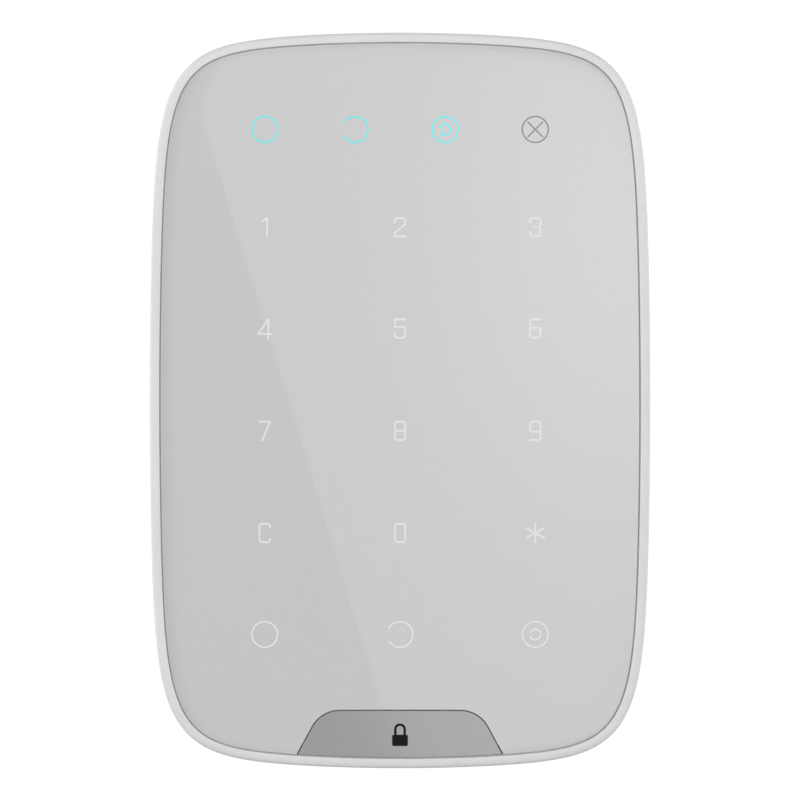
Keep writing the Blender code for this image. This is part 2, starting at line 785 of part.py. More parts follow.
def make_screw_retainer(parts, tools):
    """The ring that keeps the lock screw in the bracket's lug."""
    ring = cylinder("screw_retainer", RETAINER_RADIUS, (0.0, SCREW_Y, RETAINER[0]), RETAINER[1], parts, "Z")
    start = (0.0, SCREW_Y, RETAINER[0] - THROUGH)
    return cut(ring, cylinder("bore", SCREW_RADIUS + GAP, start, RETAINER[1] + THROUGH, tools, "Z", 20))


# ---------------------------------------------------------------- power


def make_cell(name, side, top, parts):
    """A cylindrical cell whose raised end points up on the right and down on the left."""
    half = CELL_LENGTH / 2
    shoulder = half - CELL_NUB
    profile = [
        (0.0, half),
        (CELL_NUB_RADIUS, half),
        (CELL_NUB_RADIUS, shoulder),
        (CELL_RADIUS - 0.4, shoulder),
        (CELL_RADIUS, shoulder - 0.5),
        (CELL_RADIUS, 0.4 - half),
        (CELL_RADIUS - 0.4, -half),
        (0.0, -half),
    ]
    middle = (side * CELL_X, CELL_Y, side * (top - half))
    return turned(name, profile, middle, parts, "Z" if side > 0 else "-Z")


def make_holder(name, side, parts, tools):
    """The open trough that holds two cells in line."""
    end, front = HOLDER_END, HOLDER_FRONT

    def across(low, high):
        return ordered(side * low, side * high)

    wall = across(HOLDER_INNER, HOLDER_INNER + HOLDER_WALL)
    holder = box(name, wall, (front, HOLDER_BACK), (-end, end), parts)
    floor_back = PANEL_BACK + 0.55
    floor_z = (2.0 * HAIR - end, end - 2.0 * HAIR)
    pieces = [box("floor", across(35.0, 44.6), (front + HAIR, floor_back), floor_z, tools)]
    foot_front, foot_back = LEDGE_BACK + 0.2, -6.4
    for up in (-1, 1):
        z = ordered(up * (end - HOLDER_WALL), up * (end - HAIR))
        pieces.append(box("end_wall", across(35.2, 44.5), (front + 2.0 * HAIR, HOLDER_BACK + 1.0), z, tools))
        z = ordered(up * (end - HOLDER_WALL + HAIR), up * (end - 2.0 * HAIR))
        outer = across(44.0, HOLDER_OUTER - 2.0 * HAIR)
        pieces.append(box("end_foot", outer, (foot_front, foot_back), z, tools))
    outer = across(HOLDER_STEP, HOLDER_OUTER)
    outer_y = (foot_front + HAIR, foot_back - 2.0 * HAIR)
    pieces.append(box("outer_wall", outer, outer_y, (0.5 - end, end - 0.5), tools))
    return join(holder, *pieces)


def make_cell_spring(name, side, parts):
    """The conical negative contact at the foot of a column of cells."""
    low = HOLDER_WALL - HOLDER_END + SPRING_WIRE + GAP
    high = CELL_TOP - 2.0 * CELL_LENGTH - GAP - SPRING_WIRE - GAP
    points = [
        (side * CELL_X + a, CELL_Y + b, side * along) for a, along, b in coil(3.9, 2.0, low, high, 3.5)
    ]
    return wire(name, points, SPRING_WIRE, parts)


def make_cell_plate(name, side, parts):
    """The flat positive contact at the head of a column of cells."""
    inner = HOLDER_END - HOLDER_WALL - GAP
    x = ordered(side * (CELL_X - PLATE_HALF), side * (CELL_X + PLATE_HALF))
    y = (CELL_Y - PLATE_HALF, CELL_Y + PLATE_HALF)
    return box(name, x, y, ordered(side * (inner - PLATE_THICK), side * inner), parts)


def make_power_supply(parts, tools):
    """Both columns of cells with their holders and contacts, grouped by finish."""
    cells, holders, springs, plates = [], [], [], []
    for side, word in ((-1, "left"), (1, "right")):
        holders.append(make_holder(f"battery_holder_{word}", side, parts, tools))
        springs.append(make_cell_spring(f"battery_spring_{word}", side, parts))
        plates.append(make_cell_plate(f"battery_plate_{word}", side, parts))
        for number, top in ((1, CELL_TOP), (2, CELL_TOP - CELL_LENGTH - GAP)):
            cells.append(make_cell(f"cell_{word}_{number}", side, top, parts))
    return cells, holders, springs, plates


# ---------------------------------------------------------------- the rear housing


def make_tray(parts, tools):
    """The rear half of the case as a thin tray with a round back edge."""
    tray = prism("rear_housing", [outline(REAR_INSET)], SPLIT_BACK, REAR_FACE, parts)
    round_edges_at(tray, REAR_FACE, REAR_ROUND, 4)
    hollow = prism("hollow", [outline(REAR_INSET + REAR_WALL)], SPLIT_BACK - THROUGH, REAR_INSIDE, tools)
    round_edges_at(hollow, REAR_INSIDE, REAR_ROUND - 0.6, 3)
    return cut(tray, hollow)


def recess_body(tools):
    """The raised floor and walls that the bracket's recess is cut into."""
    half = RECESS_HALF + RECESS_WALL
    shape = rounded_box(-half, half, RECESS_BOTTOM - 0.9, RECESS_TOP + RECESS_WALL, 5.0)
    return prism("recess_body", [shape], FLOOR_INSIDE, REAR_FACE - 0.15, tools)


def pocket_body(tools):
    """The block that holds the lock screw's pocket and its boss."""
    half = POCKET_HALF + POCKET_WALL
    shape = rounded_box(-half, half, FAR_BELOW, BOSS_FOOT + BOSS_DEPTH, 1.0, 3)
    body = prism("pocket_body", [shape], POCKET_FRONT - POCKET_WALL, REAR_INSIDE - 0.2, tools)
    limit = prism("limit", [outline(1.0)], SPLIT_FRONT - THROUGH, REAR_INSIDE + THROUGH, tools)
    return combine(body, [limit], "INTERSECT")


def lock_cutters(tools):
    """The lock screw's pocket, the boss's bore and the slot through which the head is reached."""
    pocket = rounded_box(-POCKET_HALF, POCKET_HALF, RECESS_BOTTOM, BOSS_FOOT, 0.6, 2)
    slot = SCREW_HEAD_RADIUS + 0.4
    foot = (0.0, SCREW_Y, FAR_BELOW)
    start = (0.0, SCREW_Y, BOSS_FOOT - THROUGH)
    slot_z = (FAR_BELOW, RECESS_BOTTOM + THROUGH - GAP)
    return [
        prism("pocket", [pocket], POCKET_FRONT, FLOOR_OUTSIDE + 4.0 * GAP, tools),
        cylinder("boss_bore", SCREW_RADIUS + 2.0 * GAP, start, BOSS_BORE_END, tools, "Z", 20),
        cylinder("head_way", slot, foot, RECESS_BOTTOM + THROUGH, tools, "Z"),
        box("head_slot", (-slot, slot), (SCREW_Y, THROUGH), slot_z, tools),
    ]


def floor_cutters(tools):
    """The openings in the recess floor for the hooks, the tamper plunger and the power button."""
    y0, y1 = FLOOR_INSIDE - THROUGH, FLOOR_OUTSIDE + THROUGH
    half = HOOK_WIDTH / 2 + 0.6
    windows = [
        prism(
            "hook_window",
            [rounded_box(x - half, x + half, z - LIFT - 0.3, z + HOOK_STEM + 0.25, 0.6, 2)],
            y0,
            y1,
            tools,
        )
        for x in (-HOOK_X, HOOK_X)
        for z in HOOK_UNDERSIDES
    ]
    return windows + [
        cylinder("tamper_bore", TAMPER_BORE, (TAMPER_X, y0, TAMPER_Z), y1, tools, sides=20),
        cylinder("power_bore", POWER_RADIUS + 0.25, (POWER_X, y0, POWER_Z), y1, tools),
    ]


def sound_cutters(tools):
    """Slits in the foot of the case that let the sounder out."""
    return [box("sound_slit", (x, x + SLIT_LENGTH), SLIT_DEPTHS, (FAR_BELOW, SLIT_TOP), tools) for x in SLITS]


def make_rear_housing(parts, tools):
    """The tray with its bracket recess, screw posts, lock-screw pocket and button openings."""
    housing = make_tray(parts, tools)
    posts = [
        cylinder("post", POST_RADIUS, (x, SPLIT_BACK + 0.2, z), REAR_INSIDE + 0.3, tools)
        for x, z in corners(POST_X, POST_Z)
    ]
    join(housing, recess_body(tools), pocket_body(tools), *posts)
    recess = rounded_box(-RECESS_HALF, RECESS_HALF, RECESS_BOTTOM, RECESS_TOP, 4.0)
    cut(housing, prism("recess", [recess], FLOOR_OUTSIDE, THROUGH, tools))
    cut(housing, *lock_cutters(tools), *floor_cutters(tools), *sound_cutters(tools))
    for x, z in corners(POST_X, POST_Z):
        cut(
            housing,
            cylinder("head_well", CASE_SCREW_HEAD[0] + 0.35, (x, CASE_SCREW_SEAT, z), THROUGH, tools),
            cylinder("shank_way", CASE_SCREW_RADIUS + 0.3, (x, SPLIT_FRONT, z), THROUGH, tools, sides=16),
        )
    return housing


def make_rear_label(parts):
    """A blank data label in the recess, seen through the bracket's window."""
    shape = rounded_box(*LABEL, 1.0, 3)
    return prism("rear_label", [shape], FLOOR_OUTSIDE + GAP / 2, FLOOR_OUTSIDE + 1.5 * GAP, parts)


# ---------------------------------------------------------------- the bracket


def hook_pieces(x, z, tools):
    """A stem that leaves the bracket forwards, and a finger that turns up behind the housing's floor."""
    half = HOOK_WIDTH / 2
    back = FLOOR_INSIDE - HOOK_CLEAR
    front = back - HOOK_FINGER_THICK
    top = z + HOOK_STEM + HOOK_FINGER - 0.3
    return [
        box("stem", (x - half, x + half), (front, BRACKET_FRONT + 0.6), (z, z + HOOK_STEM), tools),
        box("finger", (x - half + HAIR, x + half - HAIR), (front + HAIR, back), (z + 0.5, top), tools),
    ]


def bracket_slot(name, x, z, half_width, half_height, tools):
    """A slot with round ends through the bracket's plate."""
    radius = min(half_width, half_height) - 0.02
    shape = rounded_box(x - half_width, x + half_width, z - half_height, z + half_height, radius, 5)
    return prism(name, [shape], BRACKET_FRONT - THROUGH, THROUGH, tools)


def countersink(x, z, tools):
    """The cone that sinks a flat screw head into the bracket's front."""
    rise = 0.6
    small = WALL_SCREW_RADIUS - 0.3
    start = (x, BRACKET_FRONT - rise, z)
    end = BRACKET_FRONT + COUNTERSINK_RADIUS - small
    return cylinder("countersink", COUNTERSINK_RADIUS + rise, start, end, tools, sides=20, end_radius=small)


def tab_cutters(tools):
    """Four curved slits that leave a tab on narrow bridges, and its own screw hole."""
    slits = [
        prism(
            "tab_slit",
            [arc_slit((0.0, TAB_Z), TAB_RADIUS, TAB_RADIUS + TAB_SLIT, start, start + 90.0 - TAB_BRIDGE_DEG)],
            BRACKET_FRONT - THROUGH,
            THROUGH,
            tools,
        )
        for start in (45.0 + TAB_BRIDGE_DEG / 2 + 90.0 * k for k in range(4))
    ]
    hole = bracket_slot("tab_hole", 0.0, TAB_Z, WALL_SCREW_RADIUS, WALL_SCREW_RADIUS, tools)
    return slits + [hole, countersink(0.0, TAB_Z, tools)]


def make_wall_bracket(parts, tools):
    """The plate that is screwed to the wall, with its hooks, lock lug, window and break-away tab."""
    shape = rounded_box(-BRACKET_HALF, BRACKET_HALF, BRACKET_BOTTOM, BRACKET_TOP, 3.5)
    plate = prism("wall_bracket", [shape], BRACKET_FRONT, 0.0, parts)
    hooks = [p for x in (-HOOK_X, HOOK_X) for z in HOOK_UNDERSIDES for p in hook_pieces(x, z, tools)]
    join(plate, box("lug", (-LUG_HALF, LUG_HALF), (LUG_FRONT, BRACKET_FRONT + 0.6), LUG, tools), *hooks)
    rise = LIFT / 2 + 0.2
    lug_start = (0.0, SCREW_Y, LUG[0] - THROUGH)
    cut(
        plate,
        prism("window", [rounded_box(*WINDOW, 3.0)], BRACKET_FRONT - THROUGH, THROUGH, tools),
        bracket_slot("tamper_slot", TAMPER_X, TAMPER_Z + rise, TAMPER_BORE, TAMPER_BORE + rise, tools),
        cylinder("lug_bore", SCREW_RADIUS + 2.0 * GAP, lug_start, LUG[1] + THROUGH, tools, "Z", 20),
        *tab_cutters(tools),
    )
    for x in (-WALL_SCREW_X, WALL_SCREW_X):
        reach = WALL_SCREW_RADIUS + SLOT_TRAVEL / 2
        cut(
            plate,
            bracket_slot("round_hole", x, ROUND_HOLE_Z, WALL_SCREW_RADIUS, WALL_SCREW_RADIUS, tools),
            countersink(x, ROUND_HOLE_Z, tools),
            bracket_slot("slotted_hole", x, SLOT_Z, reach, WALL_SCREW_RADIUS, tools),
        )
    return plate


# ---------------------------------------------------------------- moving pieces


def make_power_button(parts):
    """The round cap that is pressed from behind, with the flange that keeps it in and its nose."""
    flange = [y - POWER_TOP for y in POWER_FLANGE]
    nose = POWER_STEM[1] + GAP - POWER_TOP
    profile = [
        (0.0, 0.0),
        (POWER_RADIUS - 0.4, 0.0),
        (POWER_RADIUS, -0.4),
        (POWER_RADIUS, flange[1]),
        (POWER_RADIUS + 0.8, flange[1]),
        (POWER_RADIUS + 0.8, flange[0]),
        (NOSE_RADIUS, flange[0]),
        (NOSE_RADIUS, nose),
        (0.0, nose),
    ]
    return turned("power_button", profile, (POWER_X, POWER_TOP, POWER_Z), parts, "Y")


def make_tamper_plunger(parts):
    """The sprung pin whose tip the wall holds in, with the flange that its spring pushes."""
    flange = [y - TAMPER_TIP for y in TAMPER_FLANGE]
    nose = TAMPER_STEM[1] + GAP - TAMPER_TIP
    profile = [
        (0.0, 0.0),
        (TAMPER_RADIUS - 0.6, 0.0),
        (TAMPER_RADIUS, -0.6),
        (TAMPER_RADIUS, flange[1]),
        (TAMPER_FLANGE_RADIUS, flange[1]),
        (TAMPER_FLANGE_RADIUS, flange[0]),
        (NOSE_RADIUS, flange[0]),
        (NOSE_RADIUS, nose),
        (0.0, nose),
    ]
    return turned("tamper_plunger", profile, (TAMPER_X, TAMPER_TIP, TAMPER_Z), parts, "Y")


def make_tamper_spring(parts):
    """The coil between the tamper switch and the plunger's flange."""
    low = SWITCH_TOP + GAP + TAMPER_SPRING_WIRE
    high = TAMPER_FLANGE[0] - GAP - TAMPER_SPRING_WIRE
    points = [
        (TAMPER_X + a, along, TAMPER_Z + b)
        for a, along, b in coil(TAMPER_SPRING_RADIUS, TAMPER_SPRING_RADIUS, low, high, 3.0)
    ]
    return wire("tamper_spring", points, TAMPER_SPRING_WIRE, parts)


def make_switch_stem(name, x, z, reach, parts):
    """The round stem of a push switch, between the two depths of reach."""
    return cylinder(name, STEM_RADIUS, (x, reach[0], z), reach[1], parts, sides=20)


# ---------------------------------------------------------------- assembly


def place_frame(name, place, parent, parts):
    """An empty that carries the pieces of one moving body, on that body's joint axis."""
    frame = new_object(name, None, parts)
    frame.location = Vector(place) * MM
    bpy.context.view_layer.update()
    if parent:
        world = frame.matrix_world.copy()
        frame.parent = parent
        frame.matrix_world = world
        bpy.context.view_layer.update()
    return frame


def finish(obj, finish_name, frame):
    """Gives a part its material, smooth round faces and the frame that it moves with."""
    obj.data.materials.clear()
    obj.data.materials.append(bpy.data.materials[finish_name])
    obj.data.shade_smooth()
    obj.data.set_sharp_from_angle(angle=math.radians(35.0))
    bpy.context.view_layer.update()
    world = obj.matrix_world.copy()
    obj.parent = frame
    obj.matrix_world = world


def build_front(parts, tools, unit):
    finish(make_front_bezel(parts, tools), "white_plastic", unit)
    finish(make_touch_panel(parts, tools), "panel_gloss", unit)
    finish(make_badge_plate(parts, tools), "badge_grey", unit)
    finish(make_panel_adhesive(parts), "black_tape", unit)
    finish(make_legend_film(parts), "printed_film", unit)
    finish(make_light_guide(parts, tools), "clear_acrylic", unit)
    for light in make_lights(parts):
        finish(light, "lamp", unit)


def build_inside(parts, tools, unit):
    finish(make_main_board(parts, tools), "circuit_board", unit)
    finishes = {"radio_shield": "tinned_steel", "crystal": "tinned_steel", "capacitor": "tinned_steel"}
    finishes |= {"buzzer_disc": "brass", "antenna_left": "brass", "antenna_right": "brass"}
    for name, piece in make_board_parts(parts, tools).items():
        finish(piece, finishes.get(name, "black_plastic"), unit)
    cells, holders, springs, plates = make_power_supply(parts, tools)
    for piece in cells:
        finish(piece, "cell_jacket", unit)
    for piece in holders:
        finish(piece, "grey_plastic", unit)
    for piece in springs + plates:
        finish(piece, "spring_steel", unit)
    for piece in make_board_screws(parts, tools):
        finish(piece, "tinned_steel", unit)


def build_rear(parts, tools, unit):
    finish(make_rear_housing(parts, tools), "white_plastic", unit)
    finish(make_rear_label(parts), "paper_label", unit)
    for piece in make_case_screws(parts, tools):
        finish(piece, "tinned_steel", unit)


def build_moving(parts, tools, unit, bracket):
    button = place_frame("power_button_axis", (POWER_X, POWER_TOP, POWER_Z), unit, parts)
    finish(make_power_button(parts), "grey_plastic", button)
    stem = make_switch_stem("power_switch_stem", POWER_X, POWER_Z, POWER_STEM, parts)
    finish(stem, "black_plastic", button)

    plunger = place_frame("tamper_plunger_axis", (TAMPER_X, TAMPER_TIP, TAMPER_Z), unit, parts)
    finish(make_tamper_plunger(parts), "grey_plastic", plunger)
    finish(make_tamper_spring(parts), "spring_steel", unit)
    follower = place_frame("tamper_stem_axis", (TAMPER_X, TAMPER_STEM[1], TAMPER_Z), unit, parts)
    stem = make_switch_stem("tamper_switch_stem", TAMPER_X, TAMPER_Z, TAMPER_STEM, parts)
    finish(stem, "black_plastic", follower)

    travel = place_frame("lock_screw_travel", (0.0, SCREW_Y, RETAINER[0]), bracket, parts)
    turn = place_frame("lock_screw_axis", (0.0, SCREW_Y, SCREW_HEAD[0]), travel, parts)
    finish(make_screw_retainer(parts, tools), "black_plastic", travel)
    finish(make_lock_screw(parts, tools), "tinned_steel", turn)


def main():
    clear_scene()
    for name, (colour, roughness, metallic) in FINISHES.items():
        make_material(name, colour, roughness, metallic)
    parts = make_collection("alarm_keypad")
    tools = make_collection("cutters")
    bracket = place_frame("bracket_frame", (0.0, 0.0, 0.0), None, parts)
    unit = place_frame("keypad_unit", (0.0, 0.0, 0.0), bracket, parts)
    finish(make_wall_bracket(parts, tools), "grey_plastic", bracket)
    build_front(parts, tools, unit)
    build_inside(parts, tools, unit)
    build_rear(parts, tools, unit)
    build_moving(parts, tools, unit, bracket)
    bpy.data.collections.remove(tools)


if __name__ == "__main__":
    main()
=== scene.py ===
import functools
import math

import bmesh
import bpy
from mathutils import Matrix, Vector


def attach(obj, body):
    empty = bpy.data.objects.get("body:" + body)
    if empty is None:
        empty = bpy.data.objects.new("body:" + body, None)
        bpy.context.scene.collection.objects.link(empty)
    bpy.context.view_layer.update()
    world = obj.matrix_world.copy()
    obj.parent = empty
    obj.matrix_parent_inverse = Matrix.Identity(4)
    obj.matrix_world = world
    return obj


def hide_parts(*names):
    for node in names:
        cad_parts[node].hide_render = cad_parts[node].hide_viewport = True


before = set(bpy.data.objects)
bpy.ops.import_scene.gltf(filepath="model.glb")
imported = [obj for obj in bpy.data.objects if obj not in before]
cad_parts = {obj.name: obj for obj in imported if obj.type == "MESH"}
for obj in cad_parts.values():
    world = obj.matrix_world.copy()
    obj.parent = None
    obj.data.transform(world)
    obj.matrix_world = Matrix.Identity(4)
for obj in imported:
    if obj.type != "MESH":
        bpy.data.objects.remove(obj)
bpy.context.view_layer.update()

MM = 0.001

# ---- measures in millimetres

# The case's outline: a superellipse with bowed sides.
HALF_WIDTH = 51.07
HALF_HEIGHT = 75.0
OUTLINE_POWER = 7.6
SIDE_BOW = 0.0432
END_BOW = 0.0484
QUARTER_POINTS = 60

# Depths along Y, from the wall at 0 forwards.
FRONT = -14.0
PANEL_BACK = -12.9
LEDGE_FRONT = -12.5
LEDGE_BACK = -11.3
SPLIT_FRONT = -8.6
SPLIT_BACK = -8.4
FLOOR_INSIDE = -3.4
FLOOR_OUTSIDE = -2.2
REAR_INSIDE = -1.5
REAR_FACE = -0.5
BRACKET_FRONT = -1.8
WIDEST = -10.5
PANEL_FACE = -13.96
BADGE_FACE = -13.75

BEYOND = 1.0  # how far a cutting tool runs past what it cuts
FAR_BELOW = -80.0  # a height under the whole case
SHARP = 0.02  # the radius of a corner that looks sharp
ROUND_STEPS = 48

# A face is shaded flat above this area in square metres, where its normal is this near to an axis.
FLAT_AREA = 2e-5
FLAT_LEVEL = 0.999999

# Bezel, panel and badge.
RIM_WIDTH = 2.1
RIM_FLAT = 0.5
CROWN_DROP = 0.30
EDGE_AT = 0.58  # the inset at which the crown turns into the side wall
# That turn: shares of EDGE_AT inwards, and shares of the way down to the widest line.
EDGE_CURVE = (
    (0.82, 0.035),
    (0.68, 0.09),
    (0.54, 0.17),
    (0.40, 0.28),
    (0.26, 0.43),
    (0.13, 0.63),
    (0.04, 0.84),
)
SIDE_TAPER = ((0.03, 0.6), (0.1, 1.2))  # insets of the side wall at depths behind the widest line
LIP_ROUND = 0.12
SPLIT_INSET = 0.2
SPLIT_EDGE = 0.12
LEDGE_INSET = 4.6
GROOVE_GAP = 0.03
BOARD_TAB_HALF, BOARD_TAB = 4.0, (63.4, 72.0)
BADGE_SHELF_HALF, BADGE_SHELF = 25.0, (-72.2, -61.5)
BOSS_RADIUS, CASE_PILOT_RADIUS, BOARD_PILOT_RADIUS = 2.7, 1.25, 0.9
PANEL_INSET = 2.35
PANEL_ROUND = 0.15
GROOVE_FLOOR = -13.2
PILLOW_WIDTH = 5.0
PILLOW_SLOPE = 0.06
PILLOW_RINGS = (0.6, 1.0, 1.4, 1.8, 2.3, 2.8, 3.3, 3.9, 4.5, PILLOW_WIDTH, PILLOW_WIDTH + 0.4)
BADGE_TOP = -63.17
BADGE_TOP_HALF = 16.0
BADGE_SLOPE = 0.546
BADGE_CORNER = 6.2
BADGE_ARCH = 0.06  # how far its top edge rises in the middle
BADGE_GAP = 0.2

# Rear housing and the recess for the bracket.
REAR_INSET = 0.25
REAR_WALL = 2.0
REAR_ROUND = 3.0
REAR_ROUND_INSIDE = 2.4
RECESS_HALF = 29.0
RECESS_TOP = 62.8
RECESS_BOTTOM = -70.4
RECESS_WALL = 1.3
RECESS_CORNER = 4.0
POST_X, POST_Z, POST_RADIUS = 40.3, 62.3, 3.0
SCREW_WELL_RADIUS, SCREW_WAY_RADIUS = 2.45, 1.45
BOARD_SCREW_X, BOARD_SCREW_Z = 19.0, 66.2
SOUND_SLITS = (-27.0, -21.5, -16.0)  # where each slit in the foot starts
SLIT_LENGTH, SLIT_DEPTHS, SLIT_END = 3.6, (-6.6, -5.4), -71.8

# Bracket and what it holds.
LIFT = 3.5
BRACKET_HALF = 28.0
BRACKET_TOP = 62.0
BRACKET_BOTTOM = -65.6
HOOK_X = 20.0
HOOK_WIDTH = 8.0
HOOK_STEM = 2.0
HOOK_UNDERSIDES = (45.0, -37.0)
HOOK_TOP = 4.7  # from a hook's underside to its finger's tip
HOOK_BACK, HOOK_FRONT = -3.7, -5.2
FINGER_SET_IN, FINGER_SET_BACK, FINGER_SET_UP = 0.3, 0.25, 0.5
HOOK_GAP_BELOW, HOOK_GAP_ABOVE, HOOK_GAP_BESIDE = 0.3, 0.25, 0.6
WALL_SCREW_RADIUS = 1.9
WALL_SCREW_X, WALL_SLOT_REACH = 20.0, 2.0
SINK_RADII = (4.2, 1.6)  # a countersink's radii, front and back
THROUGH_PLATE = (-3.0, BEYOND)  # depths of a tool that cuts through the plate
ROUND_HOLE_Z = 56.0
SLOT_Z = -52.0
TAB_Z, TAB_RADIUS, TAB_SLIT, TAB_BRIDGE = -24.0, 8.4, 1.1, 12.0
WINDOW_HALF, WINDOW = 14.0, (6.0, 26.0)
LUG_HALF, LUG_FRONT, LUG = 5.0, -6.9, (-65.2, -62.7)

# Button, plunger and screws.
POWER_X, POWER_Z, POWER_RADIUS, POWER_TOP, POWER_BORE = -8.5, 16.0, 2.9, -2.3, 3.15
POWER_DISH_RADIUS, POWER_DISH_DEPTH, POWER_EDGE = 2.1, 0.22, 0.35
POWER_EDGE_TURNS = (0.4, 0.8, 1.2, 1.57)  # radians round the cap's edge
NOSE_RADIUS = 1.1
# A flange's radius, its faces below the part's top, and the end of the nose behind it.
POWER_FLANGE = (3.7, -1.6, -2.4, -5.1)
TAMPER_FLANGE = (3.4, -4.85, -5.85, -7.45)
TAMPER_X, TAMPER_Z, TAMPER_RADIUS, TAMPER_BORE, TAMPER_TIP = 0.0, 36.0, 1.6, 1.85, -0.05
TAMPER_DOME = 0.6
SCREW_Y, SCREW_RADIUS, SCREW_HEAD_RADIUS, SCREW_BORE, HEAD_BORE = -4.4, 1.4, 2.5, 1.6, 2.75
SCREW_HEAD, SCREW_TIP = (-66.9, -65.3), -55.9
POCKET_HALF, POCKET_FRONT, BOSS_FOOT = 6.6, -7.2, -58.9
CASE_SCREW_SEAT, CASE_SCREW_TIP, CASE_SCREW_RADIUS, CASE_HEAD = -3.7, -10.4, 1.15, (2.1, 1.3)
BOARD_SCREW_TIP, BOARD_BACK, BOARD_SCREW_RADIUS, BOARD_HEAD = -12.3, -10.2, 0.8, (1.6, 0.9)
UNDER_HEAD = 0.1  # how far a head's underside stands off its seat

HEAD_EDGE = 0.08  # the chamfer under a screw's head

# A screw's head and cross recess, in shares of the head's radius or height.
HEAD_FLAT, HEAD_DOME = 0.72, 0.5
CROSS_REACH, CROSS_BLADE, CROSS_DEPTH, CROSS_TAPER = 0.62, 0.15, 0.6, 0.72

# Symbols on the panel.
COLUMN = 27.51
STATUS_COLUMN = 9.185
STATUS_ROW = 55.12
DIGIT_ROWS = (35.23, 14.60, -6.18, -26.96)
LOWER_ROW = -47.59
GLYPH_FRONT = -13.985
GLYPH_THICK = 0.05
GLYPH_STEP = 0.002  # how far one stroke lies behind the one before it
NUMERAL_STROKE, MODE_STROKE, LIT_STROKE, UNLIT_STROKE = 0.4, 0.31, 0.31, 0.28
MODE_RADIUS, LIT_RADIUS, UNLIT_RADIUS, CROSS_ARM = 2.6, 2.63, 2.64, 1.5
PADLOCK_HALF, PADLOCK_BODY, PADLOCK_CORNER = 1.6, (-70.3, -68.0), 0.3
SHACKLE_AT, SHACKLE_FOOT, SHACKLE_RADIUS, SHACKLE_STROKE = -66.9, -68.2, 0.95, 0.5


# ---- outlines


def outline_point(angle):
    """A point of the outer outline in the first quarter."""
    power = 2.0 / OUTLINE_POWER
    flat_x = max(math.cos(angle), 0.0) ** power
    flat_z = max(math.sin(angle), 0.0) ** power
    x, z = flat_x, flat_z
    for _ in range(12):
        x = flat_x * (1.0 - SIDE_BOW * z * z)
        z = flat_z * (1.0 - END_BOW * x * x)
    return Vector((HALF_WIDTH * x, HALF_HEIGHT * z))


def quarter_outline(count):
    """Points along a quarter of the outline with their outward normals, closer together round the corner."""
    fine = 3000
    power = OUTLINE_POWER / 2.0
    shares = [((i / fine) ** power, (1.0 - i / fine) ** power) for i in range(fine + 1)]
    curve = [outline_point(math.pi / 2 * a / (a + b)) for a, b in shares]
    steps = [(b - a) for a, b in zip(curve, curve[1:])]
    headings = [math.atan2(s.y, s.x) for s in steps]
    length = sum(s.length for s in steps)
    turned = headings[-1] - headings[0]
    travel = [0.0]
    for i, step in enumerate(steps):
        turn = headings[i] - headings[i - 1] if i else 0.0
        travel.append(travel[-1] + step.length / length + 1.4 * turn / turned)
    found, i = [], 0
    for k in range(count + 1):
        wanted = travel[-1] * k / count
        while i < fine and travel[i] < wanted:
            i += 1
        heading = headings[min(i, len(headings) - 1)]
        normal = Vector((math.sin(heading), -math.cos(heading)))
        if k == 0:
            normal = Vector((1.0, 0.0))
        if k == count:
            normal = Vector((0.0, 1.0))
        found.append((curve[i], normal))
    return found


QUARTER = quarter_outline(QUARTER_POINTS)


def outline(inset=0.0):
    """The whole outline moved inwards by inset, as (x, z) points, anticlockwise from the right side."""
    quarter = [p - n * inset for p, n in QUARTER]
    top = [Vector((-p.x, p.y)) for p in reversed(quarter[:-1])]
    upper = quarter + top
    return upper + [Vector((p.x, -p.y)) for p in reversed(upper[1:-1])]


def badge_outline(grow=0.0):
    """The badge's trapezium, grown by grow and run down below the case, as (x, z) points."""
    steps = 12
    lean = math.hypot(1.0, BADGE_SLOPE)
    top = BADGE_TOP + grow
    top_half = BADGE_TOP_HALF + grow * lean - grow * BADGE_SLOPE
    turn = math.pi / 2 - math.atan(BADGE_SLOPE)
    radius = BADGE_CORNER + grow
    reach = radius * math.tan(turn / 2)
    centre = Vector((top_half - reach, top - radius))
    flat = centre.x
    right = [Vector((flat * k / 8, top)) for k in range(8)]
    right += [
        centre + radius * Vector((math.sin(turn * k / steps), math.cos(turn * k / steps)))
        for k in range(steps + 1)
    ]
    for p in right:
        p.y += BADGE_ARCH * max(0.0, 1.0 - (p.x / top_half) ** 2)
    right.append(Vector((top_half + BADGE_SLOPE * (top - FAR_BELOW), FAR_BELOW)))
    left = [Vector((-p.x, p.y)) for p in right[1:]]
    return list(reversed(right)) + left


def arc(centre, radius, start_deg, end_deg, steps):
    """Points along an arc, as (x, z)."""
    found = []
    for k in range(steps + 1):
        a = math.radians(start_deg + (end_deg - start_deg) * k / steps)
        found.append(Vector((centre[0] + radius * math.cos(a), centre[1] + radius * math.sin(a))))
    return found


def circle(centre, radius, steps=ROUND_STEPS):
    """Points round a circle, as (x, z)."""
    return arc(centre, radius, 0.0, 360.0, steps)[:-1]


def rounded(points, radii, closed=False):
    """A path through corner points, each corner rounded by its radius."""
    points = [Vector(p) for p in points]
    count = len(points)
    if not hasattr(radii, "__len__"):
        radii = [radii] * count
    path = []
    for i, p in enumerate(points):
        radius = radii[i]
        if (not closed and i in (0, count - 1)) or radius <= 0.0:
            path.append(p)
            continue
        before = (points[i - 1] - p).normalized()
        after = (points[(i + 1) % count] - p).normalized()
        half = before.angle(after) / 2
        reach = radius / math.tan(half)
        start, end = p + before * reach, p + after * reach
        centre = p + (before + after).normalized() * (radius / math.sin(half))
        first = math.degrees(math.atan2(start.y - centre.y, start.x - centre.x))
        last = math.degrees(math.atan2(end.y - centre.y, end.x - centre.x))
        sweep = (last - first + 180.0) % 360.0 - 180.0
        path += arc(centre, radius, first, first + sweep, max(4, int(abs(sweep) / 9)))
    return path


